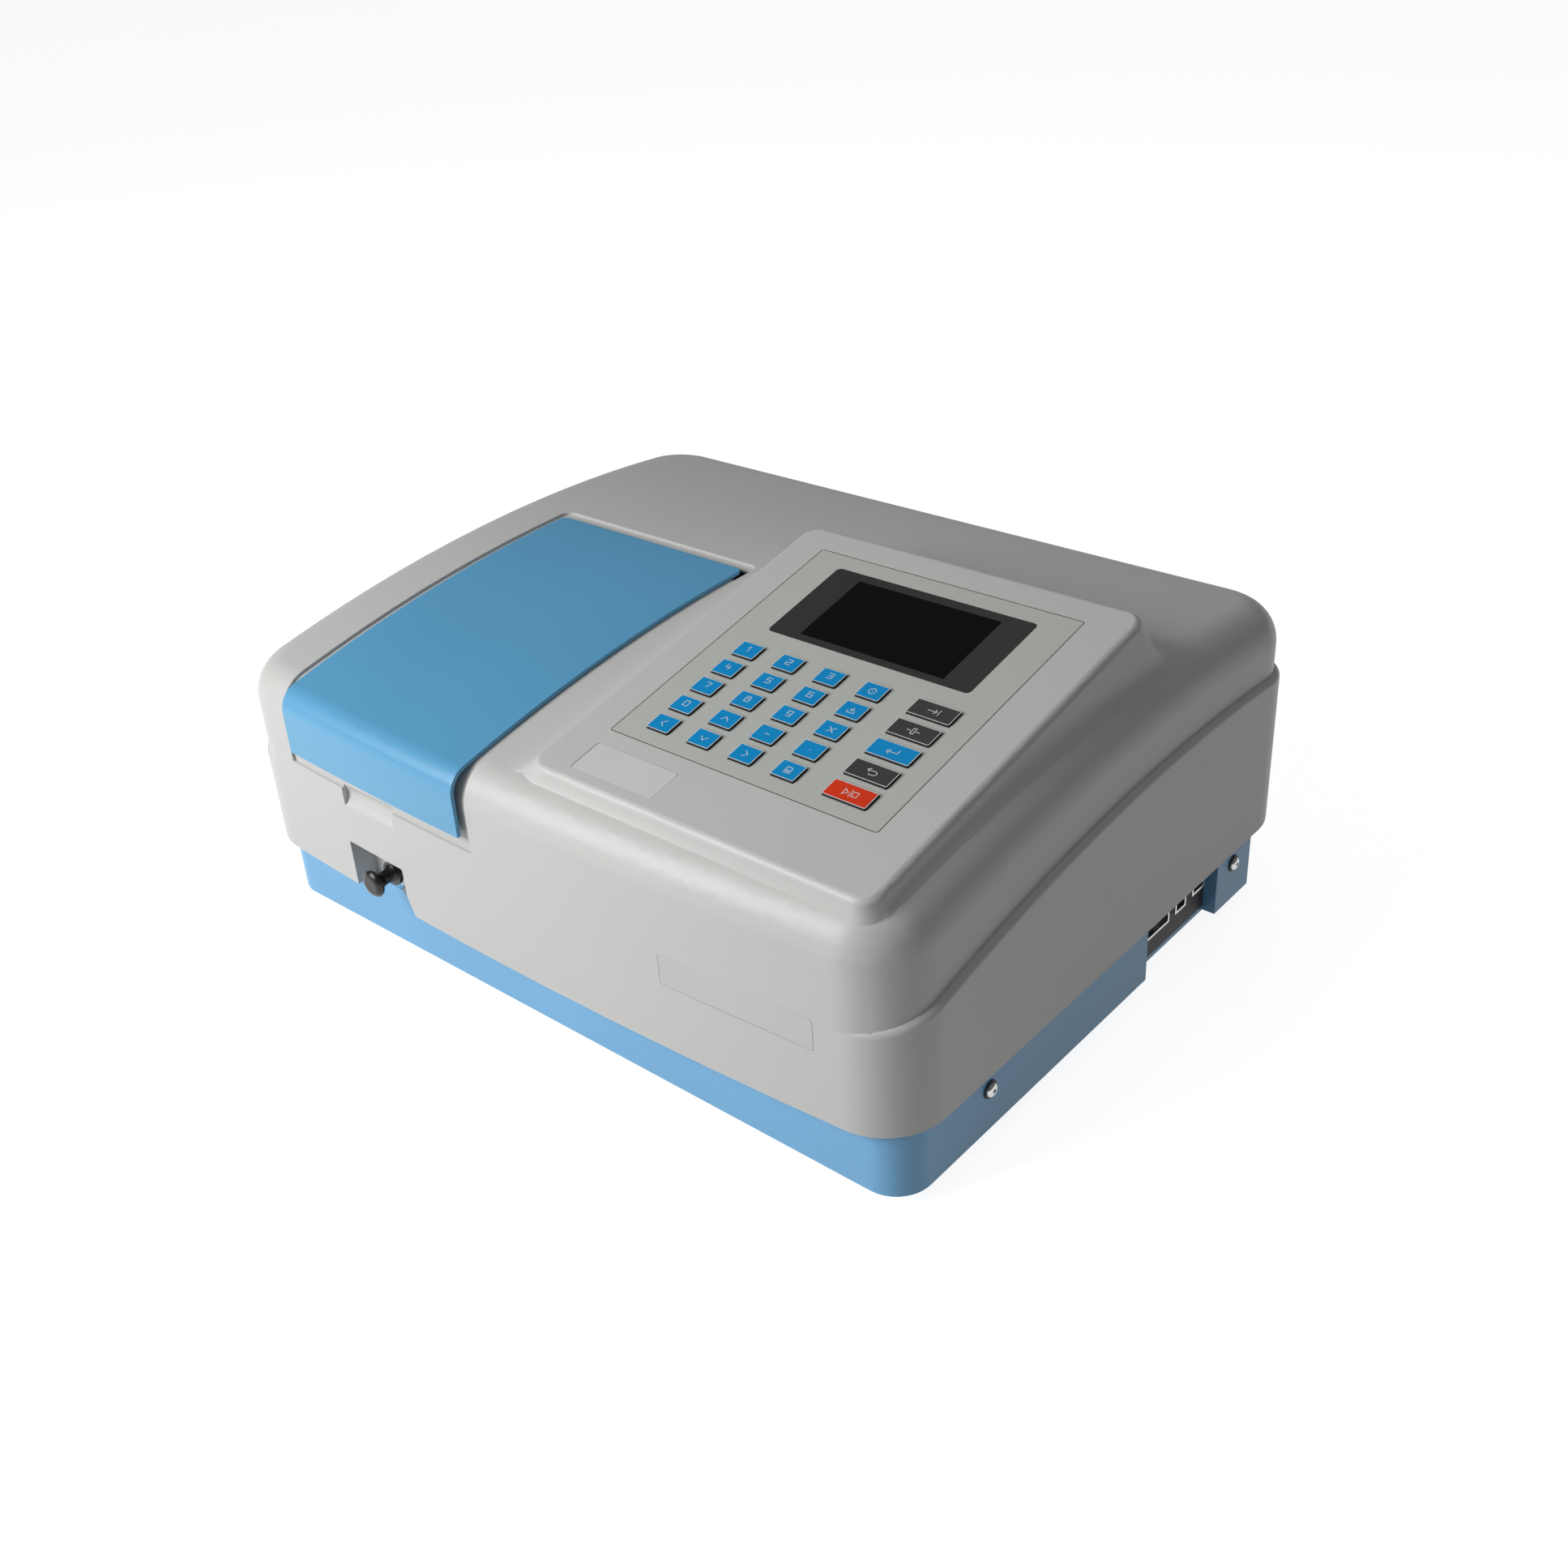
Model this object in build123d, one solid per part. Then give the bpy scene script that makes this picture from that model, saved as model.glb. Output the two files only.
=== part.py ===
"""Bench spectrophotometer with an arched cover, a raised sloping keypad, a hinged sample lid
and a pull rod that shifts four cells through the beam. Millimetres, +Z up. The origin is on
the bench under the middle of the overall box; -Y is the front, where the operator sits."""

from build123d import *
import math
import os

# Overall sizes
foot_height = 9.0
base_width = 484.0
base_depth = 343.0
base_height = 39.0
base_centre_x = 3.0
base_centre_y = -10.0
base_left_x = base_centre_x - base_width / 2
base_right_x = base_centre_x + base_width / 2
base_corner_radius = 21.0
base_wall = 3.0
cover_overhang = 7.0
cover_width = base_width + 2 * cover_overhang
ledge_step = 4.0
upper_width = cover_width - 2 * ledge_step
cover_front_y = -196.0
cover_rear_y = 202.0
front_bow_radius = 3200.0
cover_wall = 3.5

# Arched roof and the ledge round the cover's lower half
roof_height = 192.2
roof_peak_y = 56.6
roof_radius = 1041.0
roof_edge_radius = 24.0
upper_front_corner = 36.0
upper_rear_corner = 40.0
ledge_height = 148.6
ledge_peak_y = 95.0
ledge_radius = 1000.0
ledge_edge_radius = 3.5
lower_front_corner = 36.0
lower_rear_corner = 40.0

# Raised keypad platform, measured on its own sloping plane from the centre of key 1
panel_x = 52.1
panel_y = -56.2
panel_z = 200.0
panel_tilt = 11.85
platform_left = -45.1
platform_right = 174.9
platform_back = 114.6
platform_front = -124.5
platform_depth = 60.0
bank_left = 48.0
bank_right = 6.0
bank_back = 20.0
bank_front = 14.0
platform_corner_radius = 12.0
platform_edge_radius = 4.5
platform_trim = 3.0

# Keys
key_pitch_u = 27.8
key_pitch_v = 17.1
wide_key_offset = 37.96
key_rows = 5
narrow_columns = 4
narrow_key_width = 14.6
wide_key_width = 26.2
key_depth = 11.8
key_corner_radius = 0.8
key_rise = 1.3
key_travel = 0.8
key_flange_margin = 0.9
key_flange_thickness = 1.0
key_clearance = 0.25
key_under_gap = 0.1

# Keypad film, display window and what lies under them
overlay_left = -24.2
overlay_right = 148.7
overlay_back = 95.8
overlay_front = -84.0
overlay_thickness = 1.2
overlay_corner_radius = 1.5
fit_gap = 0.15
window_left = -3.5
window_right = 128.1
window_back = 84.5
window_front = 20.4
window_corner_radius = 3.0
screen_left = 15.5
screen_width = 93.9
screen_back = 78.5
screen_height = 53.4
display_opening_margin = 3.5
display_outline_margin_u = 6.0
display_outline_margin_v = 6.5
display_thickness = 4.0
keypad_opening_margin = 3.2
board_thickness = 1.6
keypad_board_overlap = 5.0
logo_recess_left = -22.7
logo_recess_width = 56.3
logo_recess_back = -94.5
logo_recess_height = 22.0
recess_depth = 0.7

# Front name recess
name_recess_x = 152.5
name_recess_z = 97.8
name_recess_width = 95.0
name_recess_height = 18.4
recess_corner_radius = 2.0

# Sample lid
lid_left = -188.0
lid_right = -34.0
lid_rear_y = 36.5
lid_proud = 1.0
lid_thickness = 2.5
lid_bottom_z = 125.0
lid_front_proud = 3.5
lid_bend_radius = 15.0
lid_corner_radius = 5.0
lid_rest_gap = 0.3
lid_side_gap = 1.5
pivot_y = 30.0
pivot_z = 186.5
hinge_pin_radius = 2.0
running_clearance = 0.05
ear_radius = 3.6
ear_width = 5.0
ear_inset = 26.0
hinge_plate_width = 4.0
hinge_side_gap = 0.25
trough_reach = 10.2
pocket_margin_left = 6.5
pocket_margin_right = 5.0
pocket_rear_margin = 9.5
pocket_bottom_z = 115.0
pocket_corner_radius = 7.0

# Sample compartment
box_left = -183.0
box_right = -43.0
box_front_y = -170.0
box_rear_y = 15.0
box_wall = 3.0
box_rim_drop = 4.5
opening_gap = 1.0
seal_width = 6.0
seal_thickness = 2.6
beam_y = -72.0
beam_z = 73.0
beam_hole_radius = 5.0

# Cell carriage, its rods and the puller
carriage_x = -121.5
cell_count = 4
cell_pitch = 18.0
cell_outer = 12.5
cell_height = 45.0
cell_wall = 1.25
cell_floor = 1.5
cell_fit = 0.15
holder_wall = 3.0
holder_height = 30.0
holder_floor = 2.0
slide_plate_height = 12.0
slide_plate_half = 36.0
guide_offset = 30.0
guide_radius = 3.0
guide_z = 50.0
pull_rod_radius = 3.0
pull_rod_z = 62.0
pull_rod_hole_gap = 0.6
knob_length = 18.0
knob_front_y = -202.0
knob_cap_radius = 8.4
knob_flange_radius = 7.5
knob_neck_radius = 3.9
knob_cap_thickness = 4.0
knob_flange_thickness = 2.4

# Knob alcove, finger scoop and the small moulded peg
alcove_left = -148.0
alcove_right = -98.0
alcove_top_z = 78.0
alcove_back_y = -178.0
alcove_flare = 5.0
alcove_flare_height = 12.0
scoop_left = -145.0
scoop_right = -98.0
scoop_z = 111.0
scoop_radius = 10.0
scoop_depth = 4.6
peg_x = -112.5
peg_z = 52.6
peg_radius = 3.3
peg_length = 7.5

# Base tray details
tray_flange = 9.0
screw_ys = (-110.8, 140.1)
screw_z = 35.0
screw_radius = 2.0
screw_gap = 0.1
screw_head_radius = 4.0
screw_head_height = 2.2
washer_radius = 5.2
washer_thickness = 0.8
screw_length = 9.0
tab_width = 16.0
tab_thickness = 5.0
tab_drop = 24.0
tab_gap = 0.2
lip_corner_radius = 30.0
notch_front_y = 42.5
notch_rear_y = 121.5
notch_depth = 8.0
panel_sheet = 1.5
foot_radius = 11.0
foot_inset_x = 45.0
foot_inset_y = 42.0
foot_recess = 2.0

# Mains inlet and rocker switch in the tray's rear wall
inlet_x = 153.0
inlet_z = 29.0
inlet_flange_width = 31.0
inlet_flange_height = 24.0
inlet_body_width = 27.2
inlet_body_height = 19.8
inlet_body_depth = 22.0
inlet_flange_thickness = 3.0
inlet_cavity_width = 24.0
inlet_cavity_height = 16.5
inlet_cavity_depth = 17.0
inlet_chamfer = 4.0
switch_x = 103.0
switch_flange_width = 21.0
switch_flange_height = 15.0
switch_body_width = 19.0
switch_body_height = 12.8
switch_body_depth = 14.0
switch_flange_thickness = 2.0
rocker_width = 15.0
rocker_height = 10.4
rocker_swing_gap = 0.9
rocker_tilt = 9.0

# Fan in the tray's floor
fan_inset = 62.0
fan_x = base_right_x - fan_inset
fan_y = -50.0
fan_size = 60.0
fan_thickness = 15.0
fan_bore_radius = 28.5
fan_hub_radius = 12.0
fan_blade_radius = 27.5
fan_blades = 7
fan_strut_width = 3.0
grille_slots = 7
grille_slot_width = 4.5
grille_slot_pitch = 8.0

# Optical bench
lamp_box_inset = 24.0
lamp_box_width = 80.0
lamp_box_right = base_right_x - lamp_box_inset
lamp_box_left = lamp_box_right - lamp_box_width
mono_lamp_gap = 20.0
mono_right = lamp_box_left - mono_lamp_gap
plate_inset = 10.0
plate_margin = 6.0
plate_left = base_left_x + plate_inset
plate_right = mono_right + plate_margin
plate_front_y = -172.0
plate_rear_y = 74.0
plate_z = 28.0
plate_thickness = 6.0
boss_radius = 6.0
boss_inset = 12.0

# Monochromator, filter wheel, lamps and detector
mono_left = -29.0
mono_front_y = -118.0
mono_rear_y = 70.0
mono_height = 66.0
mono_wall = 3.0
grating_x = 23.0
grating_y = 20.0
grating_size = 25.0
grating_thickness = 6.0
table_radius = 16.0
table_thickness = 4.0
shaft_radius = 2.5
stepper_radius = 17.0
stepper_height = 13.0
small_stepper_radius = 10.0
small_stepper_height = 13.0
mirror_size = 36.0
mirror_thickness = 6.0
mirror_inset = 22.5
mirror_spots = ((mono_right - mirror_inset, -95.0, 40.0), (mono_left + mirror_inset, 52.0, -35.0))
source_y = 45.0
wheel_lamp_gap = 11.0
wheel_x = lamp_box_left - wheel_lamp_gap
wheel_radius = 24.0
wheel_thickness = 3.0
wheel_orbit = 17.0
wheel_filters = 6
wheel_filter_radius = 5.0
wheel_axle_radius = 2.0
lamp_box_front_y = 14.0
lamp_box_rear_y = 132.0
lamp_box_height = 92.0
lamp_box_wall = 2.0
lamp_slots = 6
mirror_post_inset = 34.0
mirror_post_x = lamp_box_left + mirror_post_inset
mirror_post_radius = 2.0
lamp_mirror_size = 22.0
lamp_mirror_thickness = 3.0
tungsten_y = 28.0
deuterium_y = 96.0
detector_inset = 4.0
detector_left = plate_left + detector_inset
detector_size = box_left - detector_inset - detector_left
detector_lens_radius = 6.0

# Electronics
main_board_inset = 17.0
main_board_length = 150.0
main_board_left = base_left_x + main_board_inset
main_board_right = main_board_left + main_board_length
main_board_front_y = 84.0
main_board_rear_y = 150.0
main_board_z = 24.0
supply_left = -27.0
supply_right = 87.0
supply_front_y = 88.0
supply_rear_y = 150.0
supply_height = 36.0

# Heights and widths that follow from the sizes above
floor_z = foot_height + base_wall
lamp_floor_z = floor_z + foot_recess
seam_z = foot_height + base_height
base_front_y = base_centre_y - base_depth / 2
base_rear_y = base_centre_y + base_depth / 2
plate_top = plate_z + plate_thickness
lid_outer_front = cover_front_y - lid_front_proud
panel = Plane(
    origin=(panel_x, panel_y, panel_z),
    x_dir=(1, 0, 0),
    z_dir=(0, -math.sin(math.radians(panel_tilt)), math.cos(math.radians(panel_tilt))),
)


def block(x0, x1, y0, y1, z0, z1):
    """A box between two corners."""
    return Pos((x0 + x1) / 2, (y0 + y1) / 2, (z0 + z1) / 2) * Box(x1 - x0, y1 - y0, z1 - z0)


def rod(start, end, radius):
    """A round bar from one point to another."""
    path = Vector(*end) - Vector(*start)
    plane = Plane(origin=start, z_dir=path)
    return extrude(plane * Circle(radius), path.length)


def on_panel(u0, u1, v0, v1, low, high, radius=0.0):
    """A plate that lies along the sloping panel; v runs up the slope."""
    outline = Rectangle(u1 - u0, v1 - v0) if radius <= 0 else RectangleRounded(u1 - u0, v1 - v0, radius)
    return extrude(panel * Pos((u0 + u1) / 2, (v0 + v1) / 2, low) * outline, high - low)


def bow(half):
    """How far the bowed front falls back at a distance from the middle."""
    return front_bow_radius - math.sqrt(front_bow_radius**2 - half**2)


def arch_z(y, top, peak_y, radius):
    """Height of an arched roof at a place along Y."""
    return top - radius + math.sqrt(radius**2 - (y - peak_y) ** 2)


def roof_z(y):
    """Height of the cover's outer roof."""
    return arch_z(y, roof_height, roof_peak_y, roof_radius)


def cover_plan(half_width, front_y, rear_y, front_corner, rear_corner):
    """The cover's outline from above, with its front bowed outward."""
    side_y = front_y + bow(half_width)
    sides = Polyline(
        (half_width, side_y), (half_width, rear_y), (-half_width, rear_y), (-half_width, side_y)
    )
    front = ThreePointArc((-half_width, side_y), (0, front_y), (half_width, side_y))
    face = make_face([sides, front])
    face = fillet([v for v in face.vertices() if v.Y < 0], front_corner)
    return fillet([v for v in face.vertices() if v.Y > rear_y - 1], rear_corner)


def under_arch(top, peak_y, radius, width=600.0):
    """Everything below an arched roof."""
    y0 = cover_front_y - 60
    y1 = cover_rear_y + 60
    middle = (y0 + y1) / 2
    floor = Polyline(
        (y0, arch_z(y0, top, peak_y, radius)), (y0, 0), (y1, 0), (y1, arch_z(y1, top, peak_y, radius))
    )
    roof = ThreePointArc(
        (y0, arch_z(y0, top, peak_y, radius)),
        (middle, arch_z(middle, top, peak_y, radius)),
        (y1, arch_z(y1, top, peak_y, radius)),
    )
    side = Plane(origin=(-width / 2, 0, 0), x_dir=(0, 1, 0), z_dir=(1, 0, 0))
    return extrude(side * make_face([floor, roof]), width)


def arched_form(inset, width, bottom_z, top, peak_y, radius, corners, edge_radius):
    """A bowed, arched block with its roof edge rounded; inset shrinks it evenly."""
    plan = cover_plan(
        width / 2 - inset, cover_front_y + inset, cover_rear_y - inset, corners[0] - inset, corners[1] - inset
    )
    body = extrude(Pos(0, 0, bottom_z) * plan, top + 50 - bottom_z)
    body = body & under_arch(top - inset, peak_y, radius - inset)
    roofs = [f for f in body.faces().filter_by(GeomType.CYLINDER) if f.normal_at(f.center()).Z > 0.9]
    rounding = edge_radius - inset if edge_radius > 2 * inset else edge_radius
    return fillet(roofs[0].edges(), rounding)


def platform_form(inset):
    """The raised wedge that carries the keypad, with sloping banks."""
    banks = (bank_left, bank_right, bank_back, bank_front)
    reach = [platform_depth * math.tan(math.radians(angle)) for angle in banks]
    top = (platform_left + inset, platform_right - inset, platform_front + inset, platform_back - inset)
    foot = (top[0] - reach[0], top[1] + reach[1], top[2] - reach[3], top[3] + reach[2])

    def outline(edges, depth):
        middle = Pos((edges[0] + edges[1]) / 2, (edges[2] + edges[3]) / 2, -depth)
        return panel * middle * Rectangle(edges[1] - edges[0], edges[3] - edges[2])

    wedge = loft([outline(foot, platform_depth), outline(top, inset)], ruled=True)
    flats = wedge.faces().sort_by(lambda f: f.normal_at(f.center()).dot(panel.z_dir))
    rims = flats[-1].edges() + flats[0].edges()
    corners = [e for e in wedge.edges() if not any(e.is_same(r) for r in rims)]
    wedge = fillet(corners, platform_corner_radius - inset)
    top_face = wedge.faces().sort_by(lambda f: f.normal_at(f.center()).dot(panel.z_dir))[-1]
    return fillet(top_face.edges(), platform_edge_radius)


def cover_outer(inset, bottom_z):
    """The cover's whole outer form, or its hollow when inset by the wall."""
    upper = arched_form(
        inset, upper_width, bottom_z, roof_height, roof_peak_y, roof_radius,
        (upper_front_corner, upper_rear_corner), roof_edge_radius,
    )
    lower = arched_form(
        inset, cover_width, bottom_z, ledge_height, ledge_peak_y, ledge_radius,
        (lower_front_corner, lower_rear_corner), ledge_edge_radius,
    )
    plan = cover_plan(
        upper_width / 2 - inset - platform_trim, cover_front_y + inset + platform_trim,
        cover_rear_y - inset - platform_trim, upper_front_corner, upper_rear_corner,
    )
    trim = extrude(Pos(0, 0, bottom_z) * plan, 400)
    return upper, lower, platform_form(inset) & trim


def lid_blank(outer_drop, front_back, sides):
    """The lid's bent profile, filled down to its lower edge; used for its outside and inside."""
    top = roof_height + lid_proud - outer_drop
    radius = roof_radius + lid_proud - outer_drop
    plan = cover_plan(
        cover_width / 2, lid_outer_front + front_back, cover_rear_y, lower_front_corner, lower_rear_corner
    )
    body = extrude(plan, 400) & under_arch(top, roof_peak_y, radius)
    roofs = [f for f in body.faces().filter_by(GeomType.CYLINDER) if f.normal_at(f.center()).Z > 0.9]
    front_edge = roofs[0].edges().sort_by(Axis.Y)[0]
    body = fillet(front_edge, lid_bend_radius - outer_drop)
    return body & block(lid_left + sides, lid_right - sides, -300, 300, lid_bottom_z, 400)


def lid_pocket():
    """The shallow step in the cover that the lid lies in, and the trough behind it."""
    depth = lid_thickness - lid_proud + lid_rest_gap
    skin = under_arch(roof_height + 30, roof_peak_y, roof_radius + 30)
    floor_form = arched_form(
        depth, upper_width, 0, roof_height, roof_peak_y, roof_radius,
        (upper_front_corner, upper_rear_corner), roof_edge_radius,
    )
    area = block(
        lid_left - pocket_margin_left, lid_right + pocket_margin_right,
        -300, lid_rear_y + pocket_rear_margin, pocket_bottom_z, 300,
    )
    area = fillet(area.edges().filter_by(Axis.Z).group_by(Axis.Y)[-1], pocket_corner_radius)
    area = fillet(area.faces().sort_by(Axis.Z)[0].edges().filter_by(Axis.X), 1.0)
    return (area & skin) - floor_form


def lid_opening():
    """The hole through the cover above the sample box, with room for the lid's rear edge."""
    hole = block(
        box_left - opening_gap, box_right + opening_gap, box_front_y - opening_gap,
        pivot_y + trough_reach, roof_height - 40, roof_height + 10,
    )
    trough = block(
        lid_left - lid_side_gap, lid_right + lid_side_gap, pivot_y - ear_radius,
        pivot_y + trough_reach, roof_height - 20, roof_height + 10,
    )
    return hole + trough


def side_walls():
    """The tray's left and right outer faces, with the way that each one looks."""
    return (-1, base_left_x), (1, base_right_x)


def screw_tabs():
    """Four tongues that hang from the cover's lip inside the tray's side walls and take the screws."""
    tabs = []
    for side, wall_x in side_walls():
        for y in screw_ys:
            outer = wall_x - side * (base_wall + tab_gap)
            inner = outer - side * tab_thickness
            tab = block(
                min(inner, outer), max(inner, outer), y - tab_width / 2, y + tab_width / 2,
                seam_z - tab_drop, seam_z + 2 * cover_wall,
            )
            tab = tab + block(
                min(inner, wall_x), max(inner, wall_x), y - tab_width / 2, y + tab_width / 2,
                seam_z, seam_z + 2 * cover_wall,
            )
            tabs.append(tab - rod((inner - side, y, screw_z), (outer + side, y, screw_z), screw_radius))
    return tabs


def name_recess():
    """The shallow rounded recess on the bowed front."""
    half = name_recess_x
    angle = math.degrees(math.asin(half / front_bow_radius))
    place = Pos(half, cover_front_y + bow(half), name_recess_z) * Rot(0, 0, angle)
    outline = Plane(origin=(0, 0, 0), x_dir=(1, 0, 0), z_dir=(0, -1, 0)) * RectangleRounded(
        name_recess_width, name_recess_height, recess_corner_radius
    )
    return place * (extrude(outline, 5) + extrude(outline, -recess_depth))


def alcove_cut():
    """The space round the puller knob, open at the cover's lower edge."""
    outline = Polyline(
        (alcove_left, alcove_top_z), (alcove_left, seam_z - 5), (alcove_right + alcove_flare, seam_z - 5),
        (alcove_right + alcove_flare, seam_z), (alcove_right, seam_z + alcove_flare_height),
        (alcove_right, alcove_top_z), close=True,
    )
    front = Plane(origin=(0, alcove_back_y, 0), x_dir=(1, 0, 0), z_dir=(0, -1, 0))
    return extrude(front * make_face(outline), 60)


def top_cover():
    """Moulded cover: arched shell, ledge, keypad platform, lid step, scoop and knob alcove."""
    upper, lower, raised = cover_outer(0, seam_z)
    shell = upper + lower + raised
    lip = block(
        base_left_x + base_wall, base_right_x - base_wall, base_front_y + tray_flange,
        base_rear_y - base_wall, seam_z - 10, seam_z + 10,
    )
    lip = fillet(lip.edges().filter_by(Axis.Z), lip_corner_radius)
    for hollow in cover_outer(cover_wall, seam_z + cover_wall):
        shell = shell - hollow
    shell = shell - lip
    front_wall = cover_front_y + bow(abs(alcove_left))
    shell = shell + (block(
        alcove_left - cover_wall, alcove_right + alcove_flare + cover_wall, front_wall + 1,
        alcove_back_y + cover_wall, seam_z, alcove_top_z + cover_wall,
    ) & upper)
    shell = shell + block(
        scoop_left - cover_wall, scoop_right + cover_wall, front_wall + 1,
        front_wall + scoop_depth + cover_wall, scoop_z - scoop_radius, scoop_z + scoop_radius,
    )
    shell = shell - alcove_cut()
    scoop_axis_y = cover_front_y + bow(abs(carriage_x)) + scoop_depth - scoop_radius
    shell = shell - rod(
        (scoop_left, scoop_axis_y, scoop_z), (scoop_right, scoop_axis_y, scoop_z), scoop_radius
    )
    shell = shell - lid_pocket() - lid_opening() - name_recess()
    shell = shell - on_panel(
        overlay_left - fit_gap, overlay_right + fit_gap, overlay_front - fit_gap,
        overlay_back + fit_gap, -overlay_thickness, 5, overlay_corner_radius + fit_gap,
    )
    shell = shell - on_panel(
        logo_recess_left, logo_recess_left + logo_recess_width, logo_recess_back - logo_recess_height,
        logo_recess_back, -recess_depth, 5, recess_corner_radius,
    )
    shell = shell - on_panel(*display_opening(), -20, 5) - on_panel(*keypad_opening(), -20, 5)
    for tab in screw_tabs():
        shell = shell + tab
    hole = pull_rod_radius + pull_rod_hole_gap
    shell = shell - rod(
        (carriage_x, alcove_back_y - 1, pull_rod_z), (carriage_x, alcove_back_y + 10, pull_rod_z), hole
    )
    return shell + moulded_peg()


def moulded_peg():
    """A small domed peg on the alcove's back wall."""
    peg = rod((peg_x, alcove_back_y + 0.5, peg_z), (peg_x, alcove_back_y - peg_length, peg_z), peg_radius)
    return fillet(peg.faces().sort_by(Axis.Y)[0].edges(), peg_radius * 0.6)


def display_opening():
    """The hole under the window, on the panel's plane."""
    return (
        screen_left - display_opening_margin, screen_left + screen_width + display_opening_margin,
        screen_back - screen_height - display_opening_margin, screen_back + display_opening_margin,
    )


def keypad_opening():
    """The hole under the keys, on the panel's plane."""
    reach = key_flange_margin + keypad_opening_margin
    last_column = (narrow_columns - 1) * key_pitch_u + wide_key_offset + wide_key_width / 2
    return (
        -narrow_key_width / 2 - reach, last_column + reach,
        -(key_rows - 1) * key_pitch_v - key_depth / 2 - reach, key_depth / 2 + reach,
    )


def key_list():
    """Each key's name, centre on the panel and width, row by row."""
    keys = []
    for row in range(key_rows):
        for column in range(narrow_columns + 1):
            wide = column == narrow_columns
            u = column * key_pitch_u
            if wide:
                u = (narrow_columns - 1) * key_pitch_u + wide_key_offset
            width = wide_key_width if wide else narrow_key_width
            keys.append((f"key_r{row + 1}c{column + 1}", u, -row * key_pitch_v, width))
    return keys


def key_cap(u, v, width):
    """One key: a cap above the film, a flange that keeps it in and a short plunger."""
    half_u = width / 2
    half_v = key_depth / 2
    flange_top = -overlay_thickness - key_under_gap
    cap = on_panel(u - half_u, u + half_u, v - half_v, v + half_v, flange_top, key_rise, key_corner_radius)
    top = cap.faces().sort_by(lambda f: f.center().Z - f.center().Y * math.tan(math.radians(panel_tilt)))[-1]
    cap = fillet(top.edges(), key_corner_radius / 2)
    flange = on_panel(
        u - half_u - key_flange_margin, u + half_u + key_flange_margin,
        v - half_v - key_flange_margin, v + half_v + key_flange_margin,
        flange_top - key_flange_thickness, flange_top,
    )
    plunger_low = keypad_board_top() + key_travel + key_under_gap
    plunger = on_panel(u - 3, u + 3, v - 3, v + 3, plunger_low, flange_top)
    return cap + flange + plunger


def keypad_board_top():
    """Depth of the keypad board's upper face below the panel's surface."""
    return -cover_wall - 2 * key_flange_thickness


def keypad_overlay():
    """The printed film with a hole for every key and for the window."""
    film = on_panel(
        overlay_left, overlay_right, overlay_front, overlay_back, -overlay_thickness, 0, overlay_corner_radius
    )
    film = film - on_panel(
        window_left - fit_gap, window_right + fit_gap, window_front - fit_gap, window_back + fit_gap,
        -5, 5, window_corner_radius,
    )
    for _, u, v, width in key_list():
        half_u = width / 2 + key_clearance
        half_v = key_depth / 2 + key_clearance
        film = film - on_panel(u - half_u, u + half_u, v - half_v, v + half_v, -5, 5, key_corner_radius)
    return film


def display_window():
    """Dark window over the screen."""
    return on_panel(
        window_left, window_right, window_front, window_back, -overlay_thickness, 0.0, window_corner_radius
    )


def display_module():
    """Screen module that hangs under the platform's opening."""
    u0, u1, v0, v1 = display_opening()
    top = -cover_wall - fit_gap
    frame = on_panel(
        u0 - display_outline_margin_u, u1 + display_outline_margin_u,
        v0 - display_outline_margin_v + 4, v1 + display_outline_margin_v, top - display_thickness, top,
    )
    glass = on_panel(
        screen_left, screen_left + screen_width, screen_back - screen_height, screen_back,
        top, -overlay_thickness - fit_gap,
    )
    return frame + glass


def circuit_boards():
    """Keypad board under the keys and main board on the tray's posts."""
    u0, u1, v0, v1 = keypad_opening()
    grow = keypad_board_overlap
    top = keypad_board_top()
    keypad = on_panel(u0 - grow, u1 + grow, v0 - grow, v1 + 1, top - board_thickness, top)
    for u in (u0 - grow / 2, u1 + grow / 2):
        for v in (v0 - grow / 2, (v0 + v1) / 2):
            keypad = keypad + on_panel(u - 2, u + 2, v - 2, v + 2, top, -cover_wall - fit_gap)
    main_top = main_board_z + board_thickness
    main = block(
        main_board_left, main_board_right, main_board_front_y, main_board_rear_y, main_board_z, main_top
    )
    length = main_board_right - main_board_left
    for step, height in ((0.2, 6.0), (0.45, 3.0), (0.65, 12.0), (0.85, 9.0)):
        x = main_board_left + step * length
        main = main + block(
            x - 9, x + 9, main_board_front_y + 14, main_board_front_y + 42, main_top, main_top + height
        )
    return Compound(children=[keypad, main])


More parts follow.
